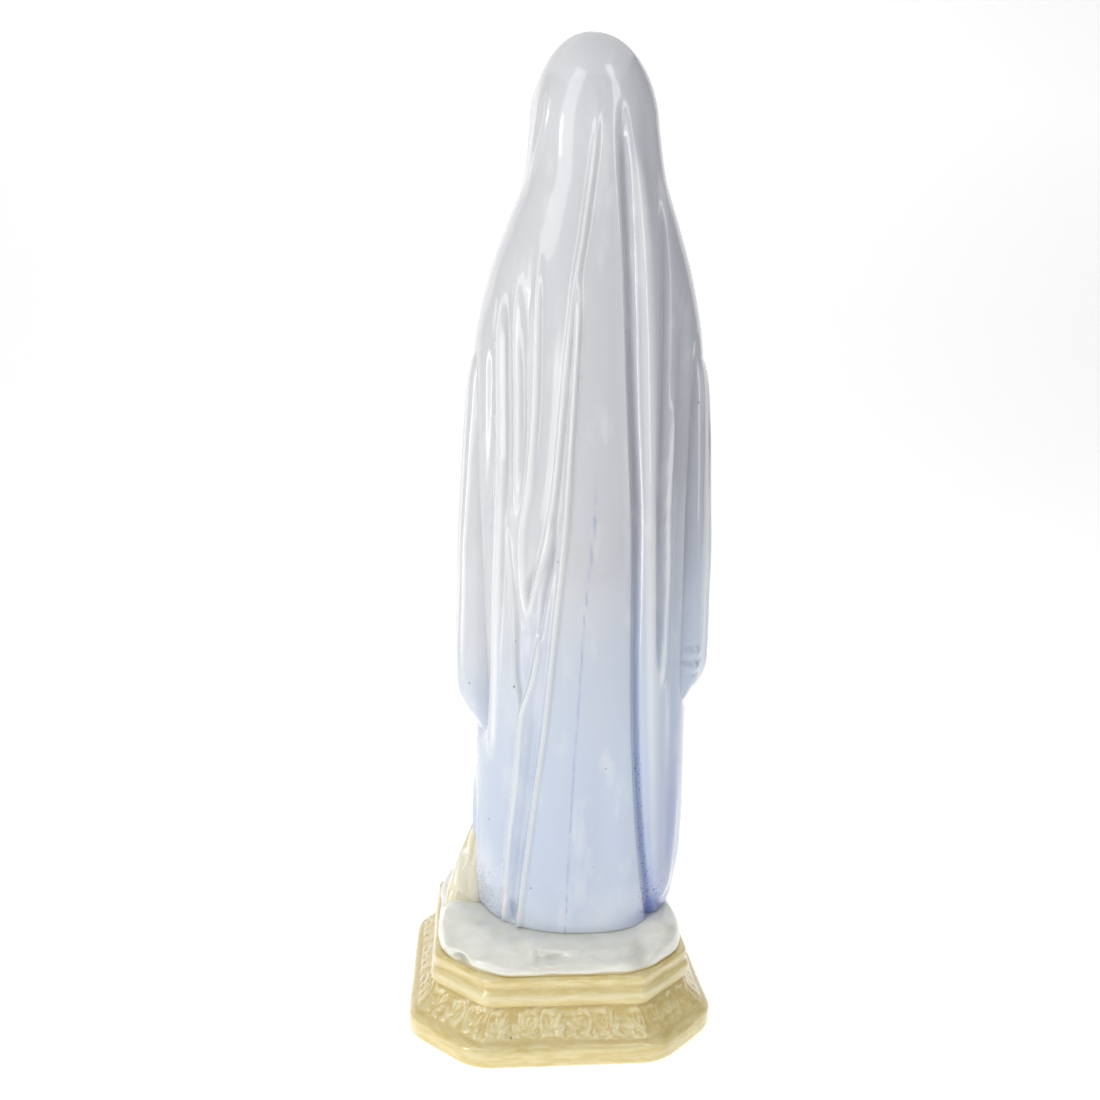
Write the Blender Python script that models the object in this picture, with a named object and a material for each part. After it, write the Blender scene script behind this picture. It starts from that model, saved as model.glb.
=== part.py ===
# A standing Madonna figure on an octagonal pedestal, in glazed earthenware.
# The castings are hollow and open underneath: pedestal, mound and gown share one cavity.
# The figure faces -Y and stands on Z = 0, with the pedestal's centre at the origin.
# Sizes below are in millimetres, and MM turns them into metres as each vertex is placed.
import math

import bmesh
import bpy
from mathutils import Vector

MM = 0.001
GAP = 0.3  # clearance left between two pieces that are luted together
SHELL_GAP = 0.6  # the same, between two faceted shells that follow each other

# ---- driving dimensions ----
PEDESTAL_HALF_WIDTH = 59.5
PEDESTAL_HALF_DEPTH = 60.0
CHAMFER_SHARE_X = 0.41  # corner chamfer as a share of the half width
CHAMFER_SHARE_Y = 0.35  # of the half depth, at the two back corners
FRONT_CHAMFER_SHARE_Y = 0.52  # and at the two front corners
PEDESTAL_HEIGHT = 29.0
DECK_HOLE_HALF = 40.0
MOUND_HALF_WIDTH = 48.3
MOUND_HALF_DEPTH = 48.9
MOUND_LOW = 37.0  # the height of its top
MOUND_RISE = 4.5  # how much higher it is at the figure's right side
MOUND_MIDDLE_X = -4.0
MOUND_SHELL = 4.0
MOUND_HOLE_SHARE = 0.37
SEAT_GAP = 0.7  # the hems stand this much above the mound's sloping top
CROWN_START = 346.0  # the head's dome begins here
CROWN_HEIGHT = 381.0
CROWN_CENTRE_Y = 1.5
CROWN_POWER = 1.95
SECTION_POWER = 2.3  # above 2 the body's section is fuller than an ellipse
GOWN_WALL = 4.0
GOWN_TOP = 313.5
GOWN_CAVITY_TOP = 288.0
GOWN_TRAIL_REACH = 19.0
# height, share of that sideways reach
GOWN_TRAIL = ((37, 1.0), (43, 0.9), (53, 0.56), (62, 0.29), (72, 0.08), (80, 0.0))
HEM_HEIGHT = MOUND_LOW + SEAT_GAP
HEM_BLEND_TOP = 78.0  # above this the hem's rise has died out

# height, centre x, half width, back y, front y of the cloaked body
BODY = (
    (37, -8.0, 41.0, 35.0, -38.0),
    (60, -8.6, 43.6, 34.3, -33.0),
    (110, -8.7, 43.5, 32.6, -29.0),
    (150, -8.1, 43.6, 31.6, -27.5),
    (200, -7.5, 44.6, 30.6, -27.0),
    (235, -7.3, 45.6, 29.8, -26.5),
    (265, -7.1, 45.6, 28.8, -27.5),
    (292, -7.1, 40.3, 26.9, -26.0),
    (312, -7.2, 33.6, 25.0, -21.5),
    (328, -7.2, 27.6, 24.0, -19.5),
    (346, -6.2, 24.7, 24.6, -21.0),
)
SECTION_CENTRE_Y = ((37, -3.0), (300, -3.0), (346, 1.5))
# height, angle in degrees from the centre of the back to the mantle's front edge
MANTLE_EDGE = ((37, 98), (110, 96), (200, 100), (235, 106), (262, 117), (290, 129), (325, 127), (350, 130))
FACE_ARCH_TOP = 369.0
MANTLE_THICKNESS = ((37, 4.5), (300, 4.5), (335, 3.4), (381, 3.4))
# broad grooves down the mantle's back: top height, bottom height, angle at top, angle at bottom, depth, width
MANTLE_GROOVES = (
    (345, 42, -17, -42, 2.6, 4.0),
    (320, 130, -42, -48, 2.0, 3.5),
    (285, 60, 38, 52, 2.0, 4.0),
    (290, 120, 22, 26, 1.6, 4.0),
    (260, 60, 12, 30, 1.2, 4.0),
)
# how far each drape stands out from the body's side, by height
LEFT_DRAPE = ((108, 1.2), (118, 3.0), (128, 8.0), (148, 8.9), (168, 8.1), (187, 7.6), (216, 5.6), (250, 2.6),
              (262, 1.4))
RIGHT_DRAPE = ((124, 1.2), (129, 3.2), (138, 7.4), (148, 7.9), (168, 7.8), (187, 7.6), (216, 5.6), (250, 2.6),
               (262, 1.4))
DRAPE_BACK_ANGLE = 76.0
DRAPE_FRONT_ANGLE = ((108, 100), (130, 112), (180, 124), (235, 133), (262, 126))
# height, half width, back y, front y of the head and neck, about the figure's own centre line
HEAD = (
    (314.2, 7.8, 5.0, -10.0),
    (322, 7.2, 5.0, -9.6),
    (329, 8.0, 7.0, -11.5),
    (333, 11.2, 12.0, -18.6),
    (340, 14.0, 15.5, -20.0),
    (348, 15.8, 18.0, -20.3),
    (356, 16.4, 18.6, -19.4),
    (364, 14.6, 16.5, -15.6),
    (370, 10.2, 12.0, -9.6),
    (374, 5.0, 6.5, -3.4),
)
# one arm's sleeve: points from elbow to cuff, then its radii across and upright
SLEEVE_PATH = ((30, -15, 232), (22, -26.5, 244), (13, -34, 254), (7.6, -38, 262))
SLEEVE_ACROSS = 6.9
SLEEVE_UPRIGHT = 8.4
CUFF_WALL = 2.2
CUFF_DEPTH_SHARE = 0.24
SASH_BOTTOM = 211.0
SASH_TOP = 220.0
SASH_HALF_ANGLE = 74.0
# one hand from wrist to fingertips: distance from the palm plane, y, z, half breadth, thickness
HAND = (
    (7.6, -36.8, 259.6, 2.8, 4.0),
    (4.4, -39.4, 265.6, 3.6, 4.6),
    (0.3, -42.6, 274.0, 5.6, 5.6),
    (0.3, -44.6, 282.0, 5.2, 4.8),
    (0.3, -46.4, 292.0, 3.8, 3.4),
    (0.3, -47.6, 299.0, 2.0, 2.2),
)


def through(stations, at, column=1):
    """Value at a height on a smooth curve through the stations' points."""
    if at <= stations[0][0]:
        return stations[0][column]
    if at >= stations[-1][0]:
        return stations[-1][column]
    k = next(i for i in range(len(stations) - 1) if at <= stations[i + 1][0])

    def slope(i):
        before, after = stations[max(i - 1, 0)], stations[min(i + 1, len(stations) - 1)]
        return (after[column] - before[column]) / (after[0] - before[0])

    low, high = stations[k], stations[k + 1]
    span = high[0] - low[0]
    t = (at - low[0]) / span
    return (
        (2 * t**3 - 3 * t**2 + 1) * low[column]
        + (t**3 - 2 * t**2 + t) * span * slope(k)
        + (-2 * t**3 + 3 * t**2) * high[column]
        + (t**3 - t**2) * span * slope(k + 1)
    )


def ease(low, high, value):
    """0 below low, 1 above high, smooth between."""
    t = min(1.0, max(0.0, (value - low) / (high - low)))
    return t * t * (3 - 2 * t)


def signed_power(value, power):
    return math.copysign(abs(value) ** power, value)


def crown_share(z):
    """How much of the head's width is left at this height in the dome."""
    if z <= CROWN_START:
        return 1.0
    rise = min(1.0, (z - CROWN_START) / (CROWN_HEIGHT - CROWN_START))
    return math.sqrt(max(0.0, 1 - rise**CROWN_POWER))


def section(z):
    """Centre x and y, half width, back and front reach of the cloaked body at a height."""
    low = min(z, CROWN_START)
    share = crown_share(z)
    centre_x = through(BODY, low) + 0.05 * max(0.0, z - CROWN_START)
    centre_y = through(SECTION_CENTRE_Y, z) if z < CROWN_START else CROWN_CENTRE_Y
    return (
        centre_x,
        centre_y,
        through(BODY, low, 2) * share,
        (through(BODY, low, 3) - centre_y) * share,
        (centre_y - through(BODY, low, 4)) * share,
    )


def on_section(parts, degrees, offset=0.0):
    """A point at an angle from the centre of the back, positive towards +X, moved out by offset."""
    centre_x, centre_y, half, back, front = parts
    turn = math.radians(degrees)
    reach = back if math.cos(turn) >= 0 else front
    power = 2 / SECTION_POWER
    x = centre_x + max(0.0, half + offset) * signed_power(math.sin(turn), power)
    y = centre_y + max(0.0, reach + offset) * signed_power(math.cos(turn), power)
    return x, y


def body_point(degrees, z, offset=0.0):
    return (*on_section(section(z), degrees, offset), z)


def ground(x):
    """Height of the mound's top, which rises towards the figure's right side."""
    return MOUND_LOW + MOUND_RISE * ease(24, 42, MOUND_MIDDLE_X - x)


def on_ground(point):
    """Lifts the lowest part of a hem onto the mound."""
    x, y, z = point
    return x, y, z + (ground(x) - MOUND_LOW) * (1 - ease(HEM_HEIGHT, HEM_BLEND_TOP, z))


def mantle_edge(z):
    if z <= 350:
        return through(MANTLE_EDGE, z)
    rise = min(1.0, (z - 350) / (FACE_ARCH_TOP - 350))
    return 130 + 50 * (1 - math.sqrt(1 - rise**2))


def mantle_fold(degrees, z):
    """Depth of the broad grooves at a point of the mantle, zero or below."""
    depth = 0.0
    for top, bottom, start, end, deep, wide in MANTLE_GROOVES:
        along = (top - z) / (top - bottom)
        if 0 < along < 1:
            line = start + (end - start) * along
            across = math.radians(degrees - line) * section(z)[2]
            depth -= deep * math.exp(-((across / wide) ** 2)) * ease(0, 0.15, along) * ease(0, 0.1, 1 - along)
    return max(-3.0, depth)


def gown_section(z):
    """The gown under the mantle, narrowing to the neck above the shoulders."""
    centre_x, centre_y, half, back, front = section(z)
    inset = through(MANTLE_THICKNESS, z) + SHELL_GAP
    neck = ease(292, GOWN_TOP, z)
    return (
        centre_x,
        centre_y,
        (half - inset) * (1 - neck) + 9.5 * neck,
        (back - inset) * (1 - neck) + 9.0 * neck,
        (front - inset) * (1 - neck) + 8.0 * neck,
    )


def gown_flare(degrees, z):
    """The gown spreads forwards over the mound."""
    turn = degrees if degrees > 0 else degrees + 360
    return 4.0 * (1 - ease(37, 66, z)) * ease(150, 180, turn) * (1 - ease(205, 235, turn))


def gown_trail(degrees, z):
    """How far the gown trails sideways over the mound at the figure's left."""
    turn = degrees if degrees > 0 else degrees + 360
    return GOWN_TRAIL_REACH * through(GOWN_TRAIL, z) * ease(100, 110, turn) * (1 - ease(118, 175, turn))


def gown_point(degrees, z, offset=0.0):
    x, y = on_section(gown_section(z), degrees, offset + gown_flare(degrees, z))
    return x + gown_trail(degrees, z), y, z


# ---- mesh makers ----
def place(mesh_data, name, material, smooth_angle):
    mesh = bpy.data.meshes.new(name)
    bmesh.ops.recalc_face_normals(mesh_data, faces=mesh_data.faces)
    if mesh_data.calc_volume(signed=True) < 0:
        bmesh.ops.reverse_faces(mesh_data, faces=mesh_data.faces)
    mesh_data.to_mesh(mesh)
    mesh_data.free()
    mesh.shade_smooth()
    mesh.set_sharp_from_angle(angle=math.radians(smooth_angle))
    body = bpy.data.objects.new(name, mesh)
    bpy.context.scene.collection.objects.link(body)
    if material is not None:
        mesh.materials.append(material)
    return body


def sheet(across, up, shape):
    """A grid whose vertices are laid on shape(u, v), both from 0 to 1."""
    made = bmesh.new()
    bmesh.ops.create_grid(made, x_segments=across, y_segments=up, size=0.5)
    for vertex in made.verts:
        u = min(1.0, max(0.0, vertex.co.x + 0.5))
        v = min(1.0, max(0.0, vertex.co.y + 0.5))
        vertex.co = Vector(shape(u, v)) * MM
    bmesh.ops.remove_doubles(made, verts=made.verts, dist=0.02 * MM)
    return made


def lathed(name, around, up, shape, material, smooth_angle=35):
    """A closed piece: u goes round it, and v runs from pole to pole or round a closed profile."""
    made = sheet(around, up, shape)
    bmesh.ops.dissolve_degenerate(made, edges=made.edges, dist=0.01 * MM)
    return place(made, name, material, smooth_angle)


def plate(name, across, up, outer, inner, material, smooth_angle=35):
    """A closed piece between two sheets, joined along their rims."""
    made = sheet(across, up, outer)
    under = sheet(across, up, inner)
    spare = bpy.data.meshes.new("spare")
    under.to_mesh(spare)
    under.free()
    made.from_mesh(spare)
    bpy.data.meshes.remove(spare)
    rims = [edge for edge in made.edges if edge.is_boundary]
    bmesh.ops.bridge_loops(made, edges=rims)
    return place(made, name, material, smooth_angle)


def glaze(name, colour, roughness=0.12):
    """A glazed finish; the colours are linear."""
    made = bpy.data.materials.new(name)
    made.use_nodes = True
    shader = made.node_tree.nodes["Principled BSDF"]
    shader.inputs["Base Color"].default_value = (*colour, 1)
    shader.inputs["Roughness"].default_value = roughness
    shader.inputs["Metallic"].default_value = 0
    made.diffuse_color = (*colour, 1)
    return made


# ---- pedestal ----
def octagon(turn, half_width, half_depth):
    """A point on a chamfered rectangle at a share of its perimeter, corners and sides evenly sampled."""
    side_x, back_y = half_width * (1 - CHAMFER_SHARE_X), half_depth * (1 - CHAMFER_SHARE_Y)
    front_y = -half_depth * (1 - FRONT_CHAMFER_SHARE_Y)
    corners = (
        (half_width, front_y), (half_width, back_y), (side_x, half_depth), (-side_x, half_depth),
        (-half_width, back_y), (-half_width, front_y), (-side_x, -half_depth), (side_x, -half_depth),
    )
    place_on = (turn % 1.0) * 8
    k = int(place_on) % 8
    t = place_on - int(place_on)
    start, end = corners[k], corners[(k + 1) % 8]
    return start[0] + (end[0] - start[0]) * t, start[1] + (end[1] - start[1]) * t


def pedestal_profile():
    """(inset from the plinth's outline, height) from the foot, up the mouldings, over the deck and down inside."""
    deck = PEDESTAL_HALF_WIDTH - DECK_HOLE_HALF
    plinth = [(0.9, 0), (0.1, 1.0), (0, 2.6), (0, 5.6), (0.6, 7.3), (1.9, 8.2)]
    frieze = [(2.7, 8.6), (5.5, 10.9), (8.1, 13.6), (9.7, 16.4), (10.1, 17.5)]
    torus = [(9.2, 18.1), (8.5, 19.4), (8.3, 21.2), (8.7, 23.2), (9.7, 24.7)]
    lip = [(9.6, 25.6), (9.5, 27.8), (10.3, PEDESTAL_HEIGHT)]
    inside = [(deck, PEDESTAL_HEIGHT), (deck, 24.5), (15.0, 24.5), (13.5, 18), (7.5, 10), (6.0, 0)]
    return plinth + frieze + torus + lip + inside


def build_pedestal(material):
    profile = pedestal_profile()
    steps = len(profile)

    def shape(u, v):
        inset, height = profile[round(v * steps) % steps]
        x, y = octagon(u, PEDESTAL_HALF_WIDTH - inset, PEDESTAL_HALF_DEPTH - inset)
        return x, y, height

    return lathed("pedestal", 16, steps, shape, material, 25)


# ---- mound ----
def mound_outline(turn, share):
    """A soft octagon that follows the pedestal's deck, its corners rounded by averaging along the outline."""
    shifts = (-0.02, 0, 0.02)
    spots = [octagon(turn + shift, MOUND_HALF_WIDTH * share, MOUND_HALF_DEPTH * share) for shift in shifts]
    return sum(spot[0] for spot in spots) / len(spots), sum(spot[1] for spot in spots) / len(spots)


def build_mound(material):
    foot = PEDESTAL_HEIGHT + GAP
    hole = MOUND_HOLE_SHARE
    # share of the outline, share of the rise from the foot to the top, drop below that
    profile = [
        (0.99, 0, 0), (1.0, 0.2, 0), (0.98, 0.5, 0), (0.93, 1, 2.6), (0.87, 1, 0.9), (0.80, 1, 0), (0.68, 1, 0),
        (0.5, 1, 0), (hole, 1, 0), (hole, 1, MOUND_SHELL), (0.6, 1, MOUND_SHELL), (0.82, 1, MOUND_SHELL),
        (0.88, 0.15, 0), (0.88, 0, 0),
    ]
    steps = len(profile)

    def shape(u, v):
        share, rise, drop = profile[round(v * steps) % steps]
        x, y = mound_outline(u, share)
        return x, y, foot + (ground(x) - foot) * rise - drop

    return lathed("mound", 40, steps, shape, material, 50)


# ---- gown ----
def build_gown(material):
    outer = [HEM_HEIGHT, 44, 52, 60, 72, 90, 115, 145, 175, 205, 230, 250, 268, 284, 296, 305, GOWN_TOP]
    inner = [280, 265, 240, 200, 150, 100, 66, 50, HEM_HEIGHT]
    rows = [(GOWN_CAVITY_TOP, None)] + [(z, -GOWN_WALL) for z in inner] + [(z, 0.0) for z in outer] + [(GOWN_TOP, None)]

    def shape(u, v):
        z, offset = rows[round(v * (len(rows) - 1))]
        degrees = u * 360 - 180
        if offset is None:
            centre_x, centre_y = gown_section(z)[:2]
            return centre_x, centre_y, z
        taper = -6.0 * ease(262, GOWN_CAVITY_TOP, z) if offset else 0.0
        return on_ground(gown_point(degrees, z, offset + taper))

    return lathed("gown", 36, len(rows) - 1, shape, material, 45)


# ---- mantle ----
MANTLE_ROWS = [
    HEM_HEIGHT, 45, 55, 67, 80, 95, 115, 140, 165, 188, 210, 230, 248, 264, 278, 291, 303, 314, 324, 334, 343, 350,
    357, 362.5, 366, 368.2, FACE_ARCH_TOP, 373, 377, 379.8, CROWN_HEIGHT,
]


def build_mantle(material):
    def outer(u, v):
        z = MANTLE_ROWS[round(v * (len(MANTLE_ROWS) - 1))]
        degrees = (2 * u - 1) * mantle_edge(z)
        return on_ground(body_point(degrees, z, mantle_fold(degrees, z)))

    def inner(u, v):
        z = MANTLE_ROWS[round(v * (len(MANTLE_ROWS) - 1))]
        degrees = (2 * u - 1) * mantle_edge(z)
        thick = through(MANTLE_THICKNESS, z)
        if z <= FACE_ARCH_TOP:
            return on_ground(body_point(degrees, z, -thick))
        # the inside of the dome is lower than the outside by the wall's thickness
        rise = (z - FACE_ARCH_TOP) / (CROWN_HEIGHT - FACE_ARCH_TOP)
        return body_point(degrees, z - thick * rise, -thick * (1 - rise) if rise < 1 else -40)

    return plate("mantle", 28, len(MANTLE_ROWS) - 1, outer, inner, material, 50)


def build_drape(name, side, stations, material):
    """The mantle's front edge, hanging over the forearm down one side of the figure."""
    bottom, top = stations[0][0], stations[-1][0]

    def where(u, v):
        z = bottom + (top - bottom) * v
        degrees = DRAPE_BACK_ANGLE + (through(DRAPE_FRONT_ANGLE, z) - DRAPE_BACK_ANGLE) * u
        return degrees, z

    def outer(u, v):
        degrees, z = where(u, v)
        swell = math.sin(math.pi * (0.10 + 0.80 * u)) ** 0.6
        return body_point(side * degrees, z, max(1.2, through(stations, z) * swell))

    def inner(u, v):
        degrees, z = where(u, v)
        return body_point(side * degrees, z, SHELL_GAP - 0.1)

    return plate(name, 8, 12, outer, inner, material, 50)


# ---- head, arms and hands ----
def build_head(material):
    def shape(u, v):
        rows = len(HEAD) + 1
        k = round(v * rows)
        if k in (0, rows):
            z = HEAD[0][0] if k == 0 else HEAD[-1][0] + 1.0
            return section(z)[0], -2.5 if k == 0 else 1.5, z
        z, half, back, front = HEAD[k - 1]
        turn = u * 2 * math.pi
        middle = (back + front) / 2
        return section(z)[0] + half * math.sin(turn), middle + (back - front) / 2 * math.cos(turn), z

    return lathed("head", 24, len(HEAD) + 1, shape, material, 60)


def sleeve_point(side, centre_x, share, turn, scale):
    """A point round the sleeve at a share of its length."""
    last = len(SLEEVE_PATH) - 1
    stations = [(i, *point) for i, point in enumerate(SLEEVE_PATH)]
    along = share * last
    middle = Vector([through(stations, along, k) for k in (1, 2, 3)])
    ahead = Vector([through(stations, min(last, along + 0.2), k) for k in (1, 2, 3)])
    behind = Vector([through(stations, max(0, along - 0.2), k) for k in (1, 2, 3)])
    forward = (ahead - behind).normalized()
    sideways = forward.cross(Vector((0, 0, 1))).normalized()
    upright = sideways.cross(forward)
    reach = (sideways * math.cos(turn) * SLEEVE_ACROSS + upright * math.sin(turn) * SLEEVE_UPRIGHT) * scale
    spot = middle + reach
    return centre_x + side * spot.x, spot.y, spot.z


def cut_away(body, cutter):
    """Takes the cutter's shape out of the body, so that the two don't overlap."""
    cutter.hide_render = True
    cutter.display_type = "WIRE"
    cut = body.modifiers.new("seat", "BOOLEAN")
    cut.operation = "DIFFERENCE"
    cut.solver = "EXACT"
    cut.object = cutter


def gown_cutter():
    """The gown's upper outside, grown by the gap, as a closed block."""
    rows = [200, 215, 230, 245, 260, 275, 290]

    def shape(u, v):
        k = round(v * (len(rows) + 1))
        if k in (0, len(rows) + 1):
            z = rows[0] if k == 0 else rows[-1]
            return (*gown_section(z)[:2], z)
        return gown_point(u * 360 - 180, rows[k - 1], GAP + 0.2)

    return lathed("gown_seat_cutter", 44, len(rows) + 1, shape, None)


def drape_cutter(name, side):
    """The space that a drape and the mantle's edge take, grown by the gap."""
    def where(u, v):
        z = 205 + 70 * v
        front = through(DRAPE_FRONT_ANGLE, z) + 1.5
        return (DRAPE_BACK_ANGLE + (front - DRAPE_BACK_ANGLE) * u), z

    def outer(u, v):
        degrees, z = where(u, v)
        return body_point(side * degrees, z, 14)

    def inner(u, v):
        degrees, z = where(u, v)
        return body_point(side * degrees, z, -6.5)

    return plate(name, 10, 6, outer, inner, None)


def build_sleeve(name, side, centre_x, material):
    inner_x = 1 - CUFF_WALL / SLEEVE_ACROSS
    deep = 1 - CUFF_DEPTH_SHARE
    rows = [(0.0, 0.0), (0.0, 0.75), (0.0, 0.95), (0.2, 1.0), (0.4, 1.0), (0.6, 1.0), (0.8, 1.0), (1.0, 1.0),
            (1.0, inner_x), (deep, inner_x * 0.92), (deep, 0.0)]

    def shape(u, v):
        share, scale = rows[round(v * (len(rows) - 1))]
        return sleeve_point(side, centre_x, share, u * 2 * math.pi, scale)

    return lathed(name, 20, len(rows) - 1, shape, material, 50)


def build_hand(name, side, centre_x, material):
    """A hand laid flat against its fellow, fingers together and pointing up."""
    rows = [HAND[0]] + list(HAND) + [HAND[-1]]

    def shape(u, v):
        k = round(v * (len(rows) - 1))
        palm, y, z, breadth, thick = rows[k]
        turn = u * 2 * math.pi
        if k in (0, len(rows) - 1):
            return centre_x + side * (palm + thick / 2), y, z
        # a D-shaped section: flat on the palm, round on the back of the hand
        out = max(0.0, math.cos(turn)) ** 0.8 * thick
        return centre_x + side * (palm + out), y + math.sin(turn) * breadth * 0.95, z + math.sin(turn) * breadth * 0.35

    return lathed(name, 14, len(rows) - 1, shape, material, 60)


# ---- sash and feet ----
def build_sash_band(material):
    def where(u, v):
        return 180 + (2 * u - 1) * SASH_HALF_ANGLE, SASH_BOTTOM + (SASH_TOP - SASH_BOTTOM) * v

    def outer(u, v):
        degrees, z = where(u, v)
        swell = 2.0 - 0.7 * (2 * v - 1) ** 2
        return gown_point(degrees, z, GAP + swell)

    def inner(u, v):
        degrees, z = where(u, v)
        return gown_point(degrees, z, GAP + 0.1)

    return plate("sash_band", 22, 3, outer, inner, material)


def build_sash_tail(name, lean, top, bottom, material):
    """A ribbon that hangs from the sash's knot down the front of the gown."""
    def where(u, v):
        z = bottom + (top - bottom) * v
        middle = 180 + lean * (6.8 + 5.0 * (1 - v))
        return middle + (2 * u - 1) * (7.2 - 1.2 * v), z

    def outer(u, v):
        degrees, z = where(u, v)
        return gown_point(degrees, z, GAP + 1.9)

    def inner(u, v):
        degrees, z = where(u, v)
        return gown_point(degrees, z, GAP + 0.1)

    return plate(name, 4, 12, outer, inner, material)


def build_knot(centre_x, material):
    """The sash's knot, seated on the band."""
    _, y, z = gown_point(180, (SASH_TOP + SASH_BOTTOM) / 2)
    middle = Vector((centre_x, y - 4.6, z))

    def shape(u, v):
        polar = math.pi * v
        turn = u * 2 * math.pi
        ring = math.sin(polar)
        x, y = middle.x + 5.2 * ring * math.cos(turn), middle.y + 2.0 * ring * math.sin(turn)
        return x, y, middle.z - 4.6 * math.cos(polar)

    return lathed("sash_knot", 12, 8, shape, material, 60)


def build_foot(name, x, material):
    """The toes of one foot, on the mound in front of the gown's hem."""
    top, length, half = 5.2, 7.2, 4.6
    heel = gown_point(180, HEM_HEIGHT)[1] - GAP - 0.9

    def shape(u, v):
        turn = u * 2 * math.pi
        if v in (0, 1):
            return x, heel - length * 0.45, HEM_HEIGHT if v == 0 else HEM_HEIGHT + top
        rise = {1: 0.0, 2: 0.35, 3: 0.75}[round(v * 4)]
        ring = math.sqrt(1 - rise**2)
        y = heel - length * 0.5 - length * 0.5 * math.sin(turn) * ring
        return x + half * math.cos(turn) * ring, y, HEM_HEIGHT + top * rise

    return lathed(name, 16, 4, shape, material, 60)


def main():
    for old in list(bpy.data.objects):
        bpy.data.objects.remove(old, do_unlink=True)

    straw = glaze("straw_glaze", (0.78, 0.68, 0.40))
    cloud = glaze("cloud_glaze", (0.74, 0.75, 0.70))
    ivory = glaze("ivory_glaze", (0.86, 0.82, 0.68))
    pearl = glaze("pearl_blue_glaze", (0.70, 0.73, 0.80))
    flesh = glaze("flesh_glaze", (0.85, 0.62, 0.48))
    blue = glaze("sash_blue_glaze", (0.36, 0.47, 0.76))

    build_pedestal(straw)
    build_mound(cloud)
    build_gown(ivory)
    build_mantle(pearl)
    build_drape("drape_left", 1, LEFT_DRAPE, pearl)
    build_drape("drape_right", -1, RIGHT_DRAPE, pearl)
    build_head(flesh)

    arm_x = section(255)[0]
    gown_block = gown_cutter()
    for side, word in ((1, "left"), (-1, "right")):
        sleeve = build_sleeve("sleeve_" + word, side, arm_x, ivory)
        cut_away(sleeve, gown_block)
        cut_away(sleeve, drape_cutter("drape_seat_cutter_" + word, side))
        build_hand("hand_" + word, side, arm_x, flesh)

    sash_x = section(SASH_BOTTOM)[0]
    tail_top = SASH_BOTTOM - 1.0
    build_sash_band(blue)
    build_knot(sash_x, blue)
    build_sash_tail("sash_tail_left", -1, tail_top, 112, blue)
    build_sash_tail("sash_tail_right", 1, tail_top, 100, blue)
    foot_x = section(40)[0] + 3.0
    build_foot("foot_left", foot_x + 9.0, flesh)
    build_foot("foot_right", foot_x - 9.0, flesh)


main()
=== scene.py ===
import bmesh
import bpy
import numpy as np
from mathutils import Matrix, Quaternion, Vector, noise


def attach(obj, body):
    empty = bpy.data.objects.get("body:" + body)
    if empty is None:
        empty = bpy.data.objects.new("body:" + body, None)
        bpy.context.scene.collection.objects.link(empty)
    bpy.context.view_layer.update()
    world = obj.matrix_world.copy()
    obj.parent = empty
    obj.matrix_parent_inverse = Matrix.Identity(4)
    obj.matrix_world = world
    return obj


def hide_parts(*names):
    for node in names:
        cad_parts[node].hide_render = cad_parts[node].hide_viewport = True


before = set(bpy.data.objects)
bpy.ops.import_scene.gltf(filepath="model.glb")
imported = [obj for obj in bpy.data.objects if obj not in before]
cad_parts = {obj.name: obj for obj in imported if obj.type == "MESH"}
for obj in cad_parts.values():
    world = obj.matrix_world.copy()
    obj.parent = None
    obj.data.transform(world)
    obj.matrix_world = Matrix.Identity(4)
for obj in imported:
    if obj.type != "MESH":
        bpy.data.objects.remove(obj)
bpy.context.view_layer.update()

mm = 0.001  # metres in a millimetre
full = 360.0  # degrees in a whole turn
weld = 0.004  # vertices closer than this many millimetres become one
speck = 0.0005  # an edge shorter than this many millimetres goes


# numbers and curves

def ease(low, high, value):
    # 0 at low and before it, 1 at high and beyond, smooth between
    t = np.clip((np.asarray(value, float) - low) / (high - low), 0, 1)
    return t * t * (3 - 2 * t)


def through(stations, at, column=1):
    # a smooth curve through the stations' points
    table = np.array(stations, float)
    x, y = table[:, 0], table[:, column]
    slope = np.empty_like(y)
    slope[1:-1] = (y[2:] - y[:-2]) / (x[2:] - x[:-2])
    slope[0] = (y[1] - y[0]) / (x[1] - x[0])
    slope[-1] = (y[-1] - y[-2]) / (x[-1] - x[-2])
    at = np.clip(np.asarray(at, float), x[0], x[-1])
    k = np.clip(np.searchsorted(x, at, side="right") - 1, 0, len(x) - 2)
    span = x[k + 1] - x[k]
    t = (at - x[k]) / span
    return ((2 * t**3 - 3 * t**2 + 1) * y[k] + (t**3 - 2 * t**2 + t) * span * slope[k]
            + (-2 * t**3 + 3 * t**2) * y[k + 1] + (t**3 - t**2) * span * slope[k + 1])


def bend(value, power):
    # a power that keeps the sign
    return np.sign(value) * np.abs(value) ** power


def ridge(distance, wide):
    # a soft rise, 1 in its middle and a third of that at its half width
    return np.exp(-((distance / wide) ** 2))


def swelling(across, up, wide, tall):
    return ridge(across, wide) * ridge(up, tall)


def lumps(x, y, z, size, seed=0.0):
    # smooth noise, about -1 to 1, with lumps of this size in millimetres
    return np.array([noise.noise(Vector((a / size + seed, b / size, c / size)))
                     for a, b, c in zip(np.broadcast_to(x, z.shape), np.broadcast_to(y, z.shape), z)])


# mesh making

def meshFrom(made, name):
    mesh = bpy.data.meshes.new(name)
    made.to_mesh(mesh)
    made.free()
    return mesh


def placed(name, data):
    added = bpy.data.objects.new(name, data)
    bpy.context.scene.collection.objects.link(added)
    return added


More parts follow.
